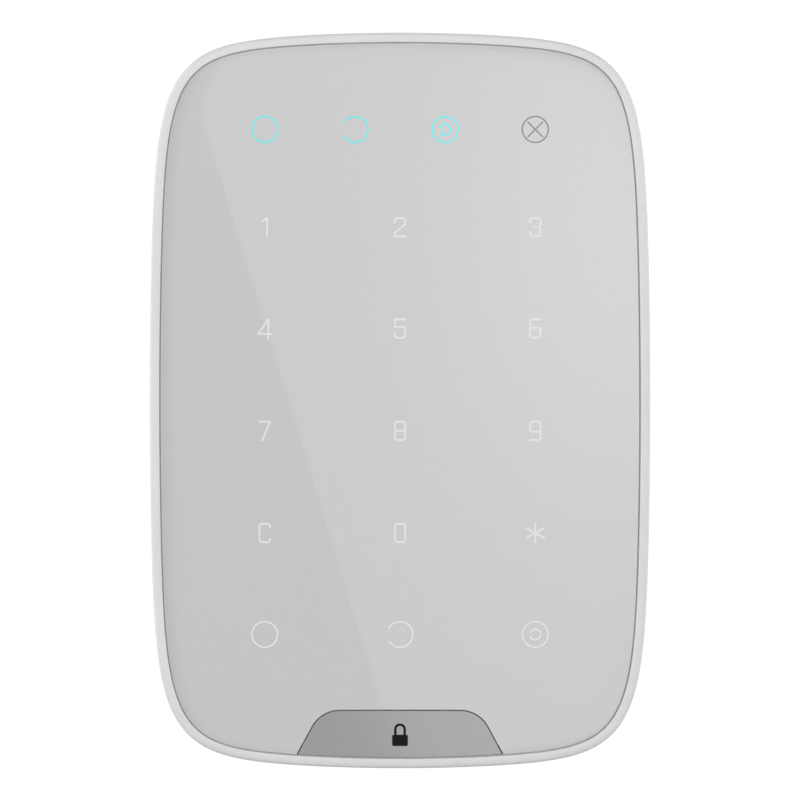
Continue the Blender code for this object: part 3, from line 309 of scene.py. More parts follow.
# ---- meshes


def mesh_object(name, bm):
    """A new object from a bmesh whose normals are made consistent."""
    bmesh.ops.recalc_face_normals(bm, faces=bm.faces)
    mesh = bpy.data.meshes.new(name)
    bm.to_mesh(mesh)
    bm.free()
    obj = bpy.data.objects.new(name, mesh)
    bpy.context.scene.collection.objects.link(obj)
    return obj


def place(points, y, bm):
    """New vertices for (x, z) points in millimetres, at depth y."""
    return [bm.verts.new((p.x * MM, y * MM, p.y * MM)) for p in points]


def bridge(bm, a, b):
    """Quads between two rings of as many vertices."""
    count = len(a)
    for i in range(count):
        j = (i + 1) % count
        bm.faces.new((a[i], a[j], b[j], b[i]))


def loft(name, profile, closed):
    """Rings of the case's outline at (inset, y), joined in turn; the ends are joined too, or capped."""
    bm = bmesh.new()
    rings = [place(outline(inset), y, bm) for inset, y in profile]
    following = rings[1:] + (rings[:1] if closed else [])
    for a, b in zip(rings, following):
        bridge(bm, a, b)
    if not closed:
        bm.faces.new(rings[0])
        bm.faces.new(rings[-1])
    return mesh_object(name, bm)


def prism(name, points, y0, y1):
    """A flat outline extruded from y0 to y1."""
    bm = bmesh.new()
    front, back = place(points, y0, bm), place(points, y1, bm)
    bridge(bm, front, back)
    bm.faces.new(front)
    bm.faces.new(back)
    return mesh_object(name, bm)


def sliced(obj, xs, zs):
    """Splits the object's faces along planes, so that no opening lies inside a single face."""
    bm = bmesh.new()
    bm.from_mesh(obj.data)
    planes = [((x, 0.0, 0.0), (1.0, 0.0, 0.0)) for x in xs] + [((0.0, 0.0, z), (0.0, 0.0, 1.0)) for z in zs]
    for at, normal in planes:
        everything = bm.verts[:] + bm.edges[:] + bm.faces[:]
        bmesh.ops.bisect_plane(bm, geom=everything, dist=1e-7, plane_co=Vector(at) * MM, plane_no=normal)
    bm.to_mesh(obj.data)
    bm.free()
    return obj


def disc(x, z, radius, y0, y1):
    """A round prism along Y."""
    return prism("disc", circle((x, z), radius), y0, y1)


def rod(radius, z0, z1):
    """A round prism along Z on the lock screw's axis."""
    bm = bmesh.new()
    size = {"radius1": radius * MM, "radius2": radius * MM, "depth": (z1 - z0) * MM}
    bmesh.ops.create_cone(bm, cap_ends=True, segments=ROUND_STEPS, **size)
    bmesh.ops.translate(bm, verts=bm.verts, vec=Vector((0.0, SCREW_Y, (z0 + z1) / 2)) * MM)
    return mesh_object("rod", bm)


def mirrored(x, z):
    """The four places at plus and minus x and z."""
    return [(across, up) for across in (-x, x) for up in (-z, z)]


def around(middle, half):
    """The limits at half to either side of the middle."""
    return middle - half, middle + half


def block(x, y, z, radius=0.6, name="block"):
    """A box between (low, high) limits whose edges along Y are round."""
    corners = [(x[0], z[0]), (x[1], z[0]), (x[1], z[1]), (x[0], z[1])]
    return prism(name, rounded(corners, radius, True), *y)


def turned(name, profile, steps=56):
    """A solid of revolution about Z from (radius, height) points, from its top down the outer side."""
    bm = bmesh.new()
    rings = []
    for radius, height in profile:
        if radius == 0.0:
            rings.append([bm.verts.new((0.0, 0.0, height * MM))])
            continue
        round_points = circle((0.0, 0.0), radius, steps)
        rings.append([bm.verts.new((p.x * MM, p.y * MM, height * MM)) for p in round_points])
    for a, b in zip(rings, rings[1:]):
        if len(a) == len(b):
            bridge(bm, a, b)
            continue
        single, many = (a[0], b) if len(a) == 1 else (b[0], a)
        for i in range(steps):
            bm.faces.new((single, many[i], many[(i + 1) % steps]))
    return mesh_object(name, bm)


def quarter_round(steps=8):
    """Shares (across, along) of a quarter circle, from along the side to across the end."""
    angles = [math.pi / 2 * k / steps for k in range(steps + 1)]
    return [(1.0 - math.cos(a), math.sin(a)) for a in angles]


def applied(obj):
    """Puts the evaluated mesh in place of the object's own, and drops its modifiers."""
    bpy.context.view_layer.update()
    graph = bpy.context.evaluated_depsgraph_get()
    mesh = bpy.data.meshes.new_from_object(obj.evaluated_get(graph))
    obj.modifiers.clear()
    obj.data = mesh
    return obj


def combine(target, tools, operation):
    """Applies one Boolean with all the tools, and removes them."""
    group = bpy.data.collections.new("tools")
    for tool in tools:
        group.objects.link(tool)
    modifier = target.modifiers.new("Shape", "BOOLEAN")
    modifier.operation = operation
    modifier.solver = "EXACT"
    modifier.operand_type = "COLLECTION"
    modifier.collection = group
    applied(target)
    for tool in tools:
        bpy.data.objects.remove(tool, do_unlink=True)
    bpy.data.collections.remove(group)
    return target


def welded(obj, distance):
    """Merges vertices that a Boolean left nearly at one place, and drops the faces that this flattens."""
    bm = bmesh.new()
    bm.from_mesh(obj.data)
    bmesh.ops.remove_doubles(bm, verts=bm.verts, dist=distance * MM)
    bmesh.ops.dissolve_degenerate(bm, edges=bm.edges, dist=distance * MM)
    bm.to_mesh(obj.data)
    bm.free()
    return obj


def bevelled(obj, width, segments):
    """Rounds every outward edge sharper than 60 degrees."""
    bm = bmesh.new()
    bm.from_mesh(obj.data)
    weight = bm.edges.layers.float.new("bevel_weight_edge")
    for edge in bm.edges:
        if edge.is_convex and edge.calc_face_angle() > math.radians(60.0):
            edge[weight] = 1.0
    bm.to_mesh(obj.data)
    bm.free()
    modifier = obj.modifiers.new("Edges", "BEVEL")
    modifier.width = width * MM
    modifier.segments = segments
    modifier.limit_method = "WEIGHT"
    modifier.use_clamp_overlap = False
    return applied(obj)


def smooth(obj, angle=35.0):
    """Smooth shading with sharp edges; the large faces that are square to an axis stay exactly flat."""
    obj.data.shade_smooth()
    obj.data.set_sharp_from_angle(angle=math.radians(angle))
    for face in obj.data.polygons:
        if face.area > FLAT_AREA and max(abs(c) for c in face.normal) > FLAT_LEVEL:
            face.use_smooth = False
    return obj


def dress(obj, material, body, slot, *nodes):
    """Gives a new piece its material and body, and hides the CAD nodes that it stands for; slot is not used.
    """
    obj.data.materials.clear()
    obj.data.materials.append(material)
    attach(obj, body)
    if nodes:
        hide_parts(*nodes)
    return obj


# ---- materials


NOISE_LOW, NOISE_HIGH = 0.3, 0.7  # the part of a noise's range that nearly all of it lies in


class Look:
    """A procedural material: a Principled shader with noise in its colour, roughness and surface."""

    def __init__(self, name, metallic=0.0, specular=0.5, ior=1.5):
        self.material = bpy.data.materials.new(name)
        self.material.use_nodes = True
        self.tree = self.material.node_tree
        self.shader = self.tree.nodes["Principled BSDF"]
        self.shader.inputs["Metallic"].default_value = metallic
        self.shader.inputs["Specular IOR Level"].default_value = specular
        self.shader.inputs["IOR"].default_value = ior
        self.place = self.node("ShaderNodeTexCoord").outputs["Object"]

    def node(self, kind, **settings):
        """A new node with the given settings."""
        made = self.tree.nodes.new(kind)
        for key, value in settings.items():
            setattr(made, key, value)
        return made

    def link(self, a, b):
        self.tree.links.new(a, b)

    def noise(self, size, detail=2.0, roughness=0.5):
        """Noise whose grains are about size millimetres across, as a socket from 0 to 1."""
        made = self.node("ShaderNodeTexNoise")
        made.inputs["Scale"].default_value = 1.0 / (size * MM)
        made.inputs["Detail"].default_value = detail
        made.inputs["Roughness"].default_value = roughness
        self.link(self.place, made.inputs["Vector"])
        return made.outputs["Fac"]

    def ramp(self, fac, stops):
        """A colour ramp from two or more (position, colour) stops; its colour socket."""
        made = self.node("ShaderNodeValToRGB")
        elements = made.color_ramp.elements
        while len(elements) < len(stops):
            elements.new(0.5)
        for element, (where, colour) in zip(elements, stops):
            element.position = where
            element.color = (*colour, 1.0)
        self.link(fac, made.inputs["Fac"])
        return made.outputs["Color"]

    def colour(self, fac, low, high):
        """Base colour that runs from low to high with fac."""
        self.link(self.ramp(fac, [(NOISE_LOW, low), (NOISE_HIGH, high)]), self.shader.inputs["Base Color"])

    def roughness(self, fac, low, high):
        """Roughness that runs from low to high with fac."""
        made = self.node("ShaderNodeMapRange")
        made.inputs["From Min"].default_value = NOISE_LOW
        made.inputs["From Max"].default_value = NOISE_HIGH
        made.inputs["To Min"].default_value = low
        made.inputs["To Max"].default_value = high
        self.link(fac, made.inputs["Value"])
        self.link(made.outputs["Result"], self.shader.inputs["Roughness"])

    def bump(self, fac, depth, strength=0.6):
        """A surface that rises and falls by depth millimetres."""
        made = self.node("ShaderNodeBump")
        made.inputs["Strength"].default_value = strength
        made.inputs["Distance"].default_value = depth * MM
        self.link(fac, made.inputs["Height"])
        self.link(made.outputs["Normal"], self.shader.inputs["Normal"])

    def coat(self, weight, roughness, ior):
        """A clear coat."""
        self.shader.inputs["Coat Weight"].default_value = weight
        self.shader.inputs["Coat Roughness"].default_value = roughness
        self.shader.inputs["Coat IOR"].default_value = ior

    def glow(self, colour):
        """Light of its own."""
        self.shader.inputs["Emission Color"].default_value = (*colour, 1.0)
        self.shader.inputs["Emission Strength"].default_value = 1.0


def tint(colour, share):
    """The colour made lighter or darker by a share."""
    return tuple(min(1.0, c * share) for c in colour)


def moulded(name, colour, rough=(0.38, 0.5), grain=0.22, depth=0.012):
    """Moulded plastic with a fine spark-eroded grain and faint flow marks."""
    look = Look(name)
    look.colour(look.noise(14.0, 3.0), tint(colour, 0.975), tint(colour, 1.02))
    look.roughness(look.noise(3.0, 2.0), *rough)
    look.bump(look.noise(grain, 3.0, 0.6), depth)
    return look.material


def metal(name, colour, rough, size=2.0):
    """Bare or plated metal with faint streaks and stains."""
    look = Look(name, metallic=1.0)
    look.colour(look.noise(size * 2.5, 4.0), tint(colour, 0.82), tint(colour, 1.08))
    look.roughness(look.noise(size, 3.0, 0.6), *rough)
    look.bump(look.noise(size * 0.2), 0.01, 0.4)
    return look.material


GLOSS_IOR, GLOSS_ROUGH = 1.8, 0.01  # of the clear front face


def surface(name, colour, rough, bump=None, coat=None, **shader):
    """A look with colour and rough as (noise size, low, high), and bump as (noise size, depth, strength)."""
    look = Look(name, **shader)
    look.colour(look.noise(colour[0]), *colour[1:])
    look.roughness(look.noise(rough[0]), *rough[1:])
    if bump:
        look.bump(look.noise(bump[0]), *bump[1:])
    if coat:
        look.coat(*coat)
    return look


def glyph_look(name, low, high, gloss=1.0, glow=None):
    """Printed symbol on the gloss face, lit from behind where glow is given."""
    coat = (gloss, GLOSS_ROUGH, GLOSS_IOR)
    look = surface(name, (0.3, low, high), (4.0, 0.45, 0.55), coat=coat, specular=0.0)
    if glow:
        look.glow(glow)
    return look.material


def board_look():
    """Solder mask over copper tracks."""
    look = Look("circuit_board")
    cells = look.node("ShaderNodeTexVoronoi", feature="DISTANCE_TO_EDGE", distance="CHEBYCHEV")
    cells.inputs["Scale"].default_value = 260.0
    look.link(look.place, cells.inputs["Vector"])
    tracks = look.ramp(cells.outputs["Distance"], [(0.03, (0.02, 0.20, 0.09)), (0.05, (0.01, 0.11, 0.05))])
    look.link(tracks, look.shader.inputs["Base Color"])
    look.roughness(look.noise(3.0, 2.0), 0.28, 0.4)
    look.bump(cells.outputs["Distance"], 0.05, 0.5)
    return look.material


def clear_look():
    """Clear moulded plastic."""
    colour = (20.0, (0.90, 0.94, 0.95), (0.94, 0.97, 0.98))
    look = surface("clear_acrylic", colour, (4.0, 0.03, 0.08), ior=1.49)
    look.shader.inputs["Transmission Weight"].default_value = 1.0
    return look.material


def label_look():
    """Matt white film with nothing printed on it."""
    look = Look("blank_label", specular=0.3)
    look.colour(look.noise(0.4, 2.0), (0.80, 0.80, 0.78), (0.86, 0.86, 0.84))
    look.roughness(look.noise(1.5, 2.0), 0.5, 0.62)
    look.bump(look.noise(0.3, 3.0), 0.004)
    return look.material


WHITE = moulded("white_plastic", (0.735, 0.735, 0.74))
GREY = moulded("grey_moulding", (0.56, 0.565, 0.575), (0.42, 0.55), 0.3, 0.02)
DARK = moulded("black_parts", (0.028, 0.028, 0.03), (0.4, 0.55), 0.25, 0.012)
TAPE = moulded("foam_tape", (0.04, 0.04, 0.042), (0.7, 0.85), 0.5, 0.05)
FILM = moulded("printed_film", (0.80, 0.80, 0.80), (0.35, 0.45), 0.4, 0.004)
LAMP = moulded("lamp_resin", (0.90, 0.86, 0.62), (0.2, 0.3), 0.4, 0.004)
TINNED = metal("tinned_steel", (0.68, 0.68, 0.66), (0.28, 0.42))
ZINC = metal("bright_zinc", (0.72, 0.72, 0.74), (0.2, 0.34), 1.2)
NICKEL = metal("nickel_wire", (0.72, 0.70, 0.66), (0.18, 0.3), 0.8)
BRASS = metal("brass", (0.78, 0.58, 0.28), (0.22, 0.36), 1.6)
# Silver-grey paint behind a clear gloss face.
PANEL = surface(
    "panel_gloss",
    (0.35, (0.567, 0.563, 0.564), (0.585, 0.581, 0.582)),
    (8.0, 0.5, 0.56),
    coat=(1.0, GLOSS_ROUGH, GLOSS_IOR),
    specular=0.0,
).material
# Satin grey lacquer with a very fine grain.
BADGE = surface(
    "badge_satin",
    (0.3, (0.222, 0.219, 0.220), (0.254, 0.251, 0.252)),
    (6.0, 0.4, 0.5),
    bump=(0.25, 0.004, 0.4),
    coat=(1.0, 0.07, 2.5),
    specular=0.0,
).material
BOARD = board_look()
# Dark printed jacket of a cell.
CELL = surface(
    "cell_jacket",
    (9.0, (0.055, 0.06, 0.075), (0.085, 0.09, 0.105)),
    (2.0, 0.25, 0.36),
    bump=(0.6, 0.004),
    metallic=0.35,
).material
CLEAR = clear_look()
LABEL = label_look()
PRINT = glyph_look("symbol_print", (0.795, 0.795, 0.795), (0.82, 0.82, 0.82), 0.3)
NUMERAL = glyph_look("numeral_print", (0.775, 0.775, 0.775), (0.80, 0.80, 0.80), 0.3)
UNLIT = glyph_look("symbol_unlit", (0.18, 0.145, 0.14), (0.21, 0.17, 0.165))
LIT = glyph_look("symbol_lit", (0.01, 0.14, 0.15), (0.015, 0.17, 0.18), 1.0, (0.035, 0.65, 0.67))
# Matt black print.
INK = surface(
    "badge_ink", (0.5, (0.006,) * 3, (0.010,) * 3), (2.0, 0.6, 0.7), bump=(0.2, 0.003), specular=0.1
).material

# What the names of the CAD nodes that stay begin with, by their material.
NODE_LOOKS = (
    (TAPE, "panel_adhesive_frame"),
    (FILM, "legend_film"),
    (CLEAR, "light_guide"),
    (BOARD, "main_board"),
    (TINNED, "radio_shield", "crystal"),
    (DARK, "microcontroller", "capacitor", "test_connector", "buzzer_case"),
    (DARK, "power_switch", "tamper_switch", "screw_retainer"),
    (BRASS, "antenna", "buzzer_disc"),
    (LAMP, "status_led", "backlight_led"),
    (CELL, "cell"),
    (GREY, "battery_holder"),
    (NICKEL, "battery_spring", "battery_plate", "tamper_spring"),
    (LABEL, "rear_label"),
)


def dress_nodes():
    """Gives every CAD node that stays its material."""
    for name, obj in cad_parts.items():
        for look, *starts in NODE_LOOKS:
            if name.startswith(tuple(starts)):
                obj.data.materials.clear()
                obj.data.materials.append(look)


# ---- the front


def make_bezel():
    """White rim with a rounded front edge, the side wall, and the ledge inside."""
    steps = 8
    flat_end = RIM_WIDTH - RIM_FLAT
    crown = [
        (flat_end - (flat_end - EDGE_AT) * k / steps, FRONT + CROWN_DROP * (k / steps) ** 2)
        for k in range(steps + 1)
    ]
    turn = FRONT + CROWN_DROP
    side = [(EDGE_AT * across, turn + (WIDEST - turn) * along) for across, along in EDGE_CURVE]
    lip = [(RIM_WIDTH - LIP_ROUND * a, FRONT + LIP_ROUND * (1.0 - b)) for a, b in quarter_round(4)]
    groove = PANEL_INSET - GROOVE_GAP
    profile = [
        (groove, LEDGE_FRONT),
        (groove, GROOVE_FLOOR),
        (RIM_WIDTH, GROOVE_FLOOR),
        *lip,
        *crown,
        *side,
        (0.0, WIDEST),
        *[(inset, WIDEST + depth) for inset, depth in SIDE_TAPER],
        (SPLIT_INSET - 0.02, SPLIT_FRONT - SPLIT_EDGE),
        (SPLIT_INSET + SPLIT_EDGE, SPLIT_FRONT),
        (RIM_WIDTH, SPLIT_FRONT),
        (RIM_WIDTH, LEDGE_BACK),
        (LEDGE_INSET, LEDGE_BACK),
        (LEDGE_INSET, LEDGE_FRONT),
    ]
    bezel = loft("bezel_shell", profile, True)
    within = 0.02
    depths = (LEDGE_FRONT + within, LEDGE_BACK - within)
    tabs = [
        block(around(x, BOARD_TAB_HALF), depths, BOARD_TAB, 1.0)
        for x in (-BOARD_SCREW_X, BOARD_SCREW_X)
    ]
    shelf = block(around(0.0, BADGE_SHELF_HALF), depths, BADGE_SHELF, 1.0)
    posts = mirrored(POST_X, POST_Z)
    bosses = [disc(x, z, BOSS_RADIUS, LEDGE_FRONT + 0.3, SPLIT_FRONT) for x, z in posts]
    combine(bezel, [shelf, *tabs, *bosses], "UNION")
    pilots = [disc(x, z, CASE_PILOT_RADIUS, CASE_SCREW_TIP - 0.3, SPLIT_FRONT + BEYOND) for x, z in posts]
    board_depths = (LEDGE_FRONT - BEYOND, LEDGE_BACK + BEYOND)
    places = mirrored(BOARD_SCREW_X, BOARD_SCREW_Z)
    pilots += [disc(x, z, BOARD_PILOT_RADIUS, *board_depths) for x, z in places]
    combine(bezel, pilots, "DIFFERENCE")
    return dress(smooth(bezel, 40.0), WHITE, "keypad_unit", "case_plastic", "front_bezel")


def pillow(distance):
    """How far the panel's face falls back at a distance from its edge."""
    share = max(0.0, 1.0 - distance / PILLOW_WIDTH)
    return PILLOW_SLOPE * PILLOW_WIDTH / 3 * share**3


def make_panel():
    """The gloss face: round edges, a face that falls back near them, and a notch for the badge."""
    edge = PANEL_FACE + pillow(PANEL_ROUND)
    corner = [(PANEL_INSET + PANEL_ROUND * a, edge + PANEL_ROUND * (1.0 - b)) for a, b in quarter_round(5)]
    face = [(PANEL_INSET + d, PANEL_FACE + pillow(d)) for d in PILLOW_RINGS]
    panel = loft("panel_face", [(PANEL_INSET, PANEL_BACK), *corner, *face], False)
    notch = prism("notch", badge_outline(BADGE_GAP), FRONT - BEYOND, PANEL_BACK + BEYOND)
    combine(panel, [notch], "DIFFERENCE")
    bevelled(panel, 0.1, 2)
    return dress(smooth(panel, 20.0), PANEL, "keypad_unit", "panel_face", "touch_panel")


def make_badge():
    """The grey plate at the foot of the panel."""
    plate = loft("badge_face", [(PANEL_INSET, PANEL_BACK), (PANEL_INSET, BADGE_FACE)], False)
    shape = prism("shape", badge_outline(), FRONT - BEYOND, PANEL_BACK + BEYOND)
    combine(plate, [shape], "INTERSECT")
    bevelled(plate, 0.12, 3)
    return dress(smooth(plate, 20.0), BADGE, "keypad_unit", "badge_face", "badge_plate")


# ---- the rear


def recess_floor_cutters():
    """Hook windows, the plunger's bore and the button's bore, through the recess floor."""
    depths = (FLOOR_INSIDE - BEYOND, FLOOR_OUTSIDE + BEYOND)
    half = HOOK_WIDTH / 2 + HOOK_GAP_BESIDE
    windows = [
        block(around(x, half), depths, (z - LIFT - HOOK_GAP_BELOW, z + HOOK_STEM + HOOK_GAP_ABOVE))
        for x in (-HOOK_X, HOOK_X)
        for z in HOOK_UNDERSIDES
    ]
    bores = ((TAMPER_X, TAMPER_Z, TAMPER_BORE), (POWER_X, POWER_Z, POWER_BORE))
    return windows + [disc(x, z, radius, *depths) for x, z, radius in bores]


def lock_cutters():
    """The lock screw's pocket, its bore, and the way to its head from below."""
    into_pocket = RECESS_BOTTOM + BEYOND
    pocket_depths = (POCKET_FRONT, FLOOR_OUTSIDE + 0.4)
    return [
        block(around(0.0, POCKET_HALF), pocket_depths, (RECESS_BOTTOM, BOSS_FOOT), SHARP),
        rod(SCREW_BORE, BOSS_FOOT - BEYOND, SCREW_TIP + 0.5),
        rod(HEAD_BORE, FAR_BELOW, into_pocket),
        block(around(0.0, HEAD_BORE), (SCREW_Y, BEYOND), (FAR_BELOW, into_pocket - 0.1), SHARP),
    ]


def make_supports(posts):
    """The screw posts and the lock screw's pocket block, kept inside the case's round back edge."""
    half = POCKET_HALF + 1.0
    depths = (POCKET_FRONT - 1.0, REAR_INSIDE - 0.2)
    supports = block(around(0.0, half), depths, (FAR_BELOW, BOSS_FOOT + 4.5), 1.0)
    discs = [disc(x, z, POST_RADIUS, SPLIT_BACK + 0.2, REAR_INSIDE + 0.3) for x, z in posts]
    combine(supports, discs, "UNION")
    inside = prism("inside", outline(1.5), SPLIT_FRONT - BEYOND, REAR_INSIDE + BEYOND)
    return combine(supports, [inside], "INTERSECT")


def make_rear():
    """The rear half of the case: a tray with a round back edge, the bracket's recess, posts and openings."""
    inner = REAR_INSET + REAR_WALL
    profile = [
        (inner + REAR_ROUND_INSIDE * a, REAR_INSIDE - REAR_ROUND_INSIDE * (1.0 - b))
        for a, b in reversed(quarter_round())
    ]
    profile += [
        (inner, SPLIT_BACK),
        (REAR_INSET + SPLIT_EDGE, SPLIT_BACK),
        (REAR_INSET, SPLIT_BACK + SPLIT_EDGE),
    ]
    profile += [
        (REAR_INSET + REAR_ROUND * a, REAR_FACE - REAR_ROUND * (1.0 - b))
        for a, b in quarter_round(12)
    ]
    profile += [(REAR_INSET + REAR_ROUND + 0.4, REAR_FACE)]
    xs = (-POST_X, -HOOK_X, 0.0, HOOK_X, POST_X)
    zs = (-POST_Z, HOOK_UNDERSIDES[1], 0.0, POWER_Z, TAMPER_Z, HOOK_UNDERSIDES[0], POST_Z)
    rear = sliced(loft("rear_shell", profile, False), xs, zs)
    x, z = around(0.0, RECESS_HALF + RECESS_WALL), (RECESS_BOTTOM - 0.9, RECESS_TOP + RECESS_WALL)
    raised = block(x, (FLOOR_INSIDE, REAR_FACE - 0.4), z, RECESS_CORNER + 1.0)
    posts = mirrored(POST_X, POST_Z)
    combine(rear, [sliced(raised, (*xs, POWER_X), zs), make_supports(posts)], "UNION")
    x, z = around(0.0, RECESS_HALF), (RECESS_BOTTOM, RECESS_TOP)
    recess = block(x, (FLOOR_OUTSIDE, BEYOND), z, RECESS_CORNER)
    combine(rear, [sliced(recess, (*xs, POWER_X), zs)], "DIFFERENCE")
    wells = [disc(x, z, SCREW_WELL_RADIUS, CASE_SCREW_SEAT, BEYOND) for x, z in posts]
    ways = [disc(x, z, SCREW_WAY_RADIUS, SPLIT_FRONT, BEYOND) for x, z in posts]
    slits = [block((x, x + SLIT_LENGTH), SLIT_DEPTHS, (FAR_BELOW, SLIT_END), SHARP) for x in SOUND_SLITS]
    combine(rear, [*lock_cutters(), *recess_floor_cutters(), *wells, *ways, *slits], "DIFFERENCE")
    bevelled(welded(rear, 0.08), 0.07, 2)
    return dress(smooth(rear, 25.0), WHITE, "keypad_unit", "case_plastic", "rear_housing")


def slot_hole(x, z, half_width, half_height):
    """A hole with round ends through the bracket's plate."""
    radius = min(half_width, half_height) - SHARP
    return block(around(x, half_width), THROUGH_PLATE, around(z, half_height), radius)


def countersink(x, z):
    """The cone that sinks a flat screw head into the bracket's front."""
    bm = bmesh.new()
    depths = (BRACKET_FRONT - 0.6, BRACKET_FRONT + 2.0)
    rings = [place(circle((x, z), radius), y, bm) for radius, y in zip(SINK_RADII, depths)]
    bridge(bm, *rings)
    for ring_points in rings:
        bm.faces.new(ring_points)
    return mesh_object("cone", bm)


def bracket_additions():
    """The lock lug, and each hook's stem and finger."""
    half = HOOK_WIDTH / 2
    into_plate = BRACKET_FRONT + 0.6
    made = [block(around(0.0, LUG_HALF), (LUG_FRONT, into_plate), LUG, 0.4)]
    for x in (-HOOK_X, HOOK_X):
        finger_x = (x - half + FINGER_SET_IN, x + half - FINGER_SET_IN)
        finger_y = (HOOK_FRONT + FINGER_SET_BACK, HOOK_BACK)
        for z in HOOK_UNDERSIDES:
            made.append(block(around(x, half), (HOOK_FRONT, into_plate), (z, z + HOOK_STEM), 0.3))
            made.append(block(finger_x, finger_y, (z + FINGER_SET_UP, z + HOOK_TOP), 0.3))
    return made


def bracket_cutters():
    """The window, the plunger's slot, the lug's bore, the screw holes and the slits round the tab."""
    rise = LIFT / 2 + 0.2
    made = [
        block(around(0.0, WINDOW_HALF), THROUGH_PLATE, WINDOW, 3.0),
        slot_hole(TAMPER_X, TAMPER_Z + rise, TAMPER_BORE, TAMPER_BORE + rise),
        rod(SCREW_BORE, LUG[0] - BEYOND, LUG[1] + BEYOND),
        slot_hole(0.0, TAB_Z, WALL_SCREW_RADIUS, WALL_SCREW_RADIUS),
        countersink(0.0, TAB_Z),
    ]
    for k in range(4):
        start = 45.0 + TAB_BRIDGE / 2 + 90.0 * k
        end = start + 90.0 - TAB_BRIDGE
        outer = arc((0.0, TAB_Z), TAB_RADIUS + TAB_SLIT, start, end, 20)
        inner = arc((0.0, TAB_Z), TAB_RADIUS, end, start, 20)
        made.append(prism("slit", outer + inner, *THROUGH_PLATE))
    for x in (-WALL_SCREW_X, WALL_SCREW_X):
        made += [
            slot_hole(x, ROUND_HOLE_Z, WALL_SCREW_RADIUS, WALL_SCREW_RADIUS),
            countersink(x, ROUND_HOLE_Z),
            slot_hole(x, SLOT_Z, WALL_SCREW_RADIUS + WALL_SLOT_REACH, WALL_SCREW_RADIUS),
        ]
    return made


def make_bracket():
    """The plate on the wall with its hooks, lock lug, window, screw holes and break-away tab."""
    x, z = around(0.0, BRACKET_HALF), (BRACKET_BOTTOM, BRACKET_TOP)
    plate = block(x, (BRACKET_FRONT, 0.0), z, 3.5, "bracket_plate")
    hooks = [z + 1.0 for z in HOOK_UNDERSIDES]
    zs = (SLOT_Z, hooks[1], TAB_Z, sum(WINDOW) / 2, TAMPER_Z, hooks[0], ROUND_HOLE_Z)
    sliced(plate, (-HOOK_X, 0.0, HOOK_X), zs)
    combine(plate, bracket_additions(), "UNION")
    combine(plate, bracket_cutters(), "DIFFERENCE")
    bevelled(welded(plate, 0.02), 0.1, 2)
    return dress(smooth(plate, 25.0), GREY, "bracket", "grey_moulding", "wall_bracket")


# ---- screws, button and plunger

AXIS_TURN = {"Y": Matrix.Rotation(-math.pi / 2, 4, "X"), "-Z": Matrix.Rotation(math.pi, 4, "X")}


def set_down(obj, axis, at):
    """Turns a solid made along Z to its axis and moves it to a point, both in its mesh."""
    obj.data.transform(Matrix.Translation(Vector(at) * MM) @ AXIS_TURN[axis])
    return obj


def cross_bar(half_x, half_y, top, depth):
    """One bar of a cross recess, narrower at its foot."""
    above = 1.0
    bm = bmesh.new()
    bmesh.ops.create_cube(bm, size=1.0)
    bmesh.ops.scale(bm, vec=Vector((2 * half_x, 2 * half_y, depth + above)) * MM, verts=bm.verts)
    foot = [v for v in bm.verts if v.co.z < 0.0]
    bmesh.ops.scale(bm, vec=Vector((CROSS_TAPER, CROSS_TAPER, 1.0)), verts=foot)
    middle = top + (above - depth) / 2
    bmesh.ops.translate(bm, verts=bm.verts, vec=(0.0, 0.0, middle * MM))
    return mesh_object("bar", bm)


def make_screw(node, head, radius, length, at, axis, body):
    """A screw with a domed (radius, height) head, a tapered tip and a cross recess, for a CAD node."""
    head_radius, head_height = head
    top = length + head_height
    dome = [
        (
            head_radius * (HEAD_FLAT + (1.0 - HEAD_FLAT) * along),
            top - head_height * HEAD_DOME * across,
        )
        for across, along in quarter_round(6)
    ]
    profile = [
        (0.0, top),
        *dome,
        (head_radius, length + HEAD_EDGE),
        (head_radius - HEAD_EDGE, length),
        (radius, length),
        (radius, radius / 2),
        (radius / 2, 0.0),
        (0.0, 0.0),
    ]
    screw = turned(node + "_head_and_shank", profile)
    reach, blade = head_radius * CROSS_REACH, head_radius * CROSS_BLADE
    depth = head_height * CROSS_DEPTH
    bars = [cross_bar(reach, blade, top, depth), cross_bar(blade, reach, top, depth)]
    combine(screw, bars, "DIFFERENCE")
    set_down(screw, axis, at)
    return dress(smooth(screw), ZINC, body, "screw_steel", node)


def make_screws():
    """Four case screws, four board screws and the lock screw."""
    case_length = CASE_SCREW_SEAT + UNDER_HEAD - CASE_SCREW_TIP
    board_length = BOARD_BACK + UNDER_HEAD - BOARD_SCREW_TIP
    for side, across in (("left", -1), ("right", 1)):
        for level, up in (("lower", -1), ("upper", 1)):
            corner = f"{level}_{side}"
            at = (across * POST_X, CASE_SCREW_TIP, up * POST_Z)
            make_screw(
                "case_screw_" + corner, CASE_HEAD, CASE_SCREW_RADIUS, case_length, at, "Y", "keypad_unit"
            )
            at = (across * BOARD_SCREW_X, BOARD_SCREW_TIP, up * BOARD_SCREW_Z)
            make_screw(
                "board_screw_" + corner, BOARD_HEAD, BOARD_SCREW_RADIUS, board_length, at, "Y", "keypad_unit"
            )
    head = (SCREW_HEAD_RADIUS, SCREW_HEAD[1] - SCREW_HEAD[0])
    length = SCREW_TIP - SCREW_HEAD[1]
    make_screw("lock_screw", head, SCREW_RADIUS, length, (0.0, SCREW_Y, SCREW_TIP), "-Z", "lock_screw")


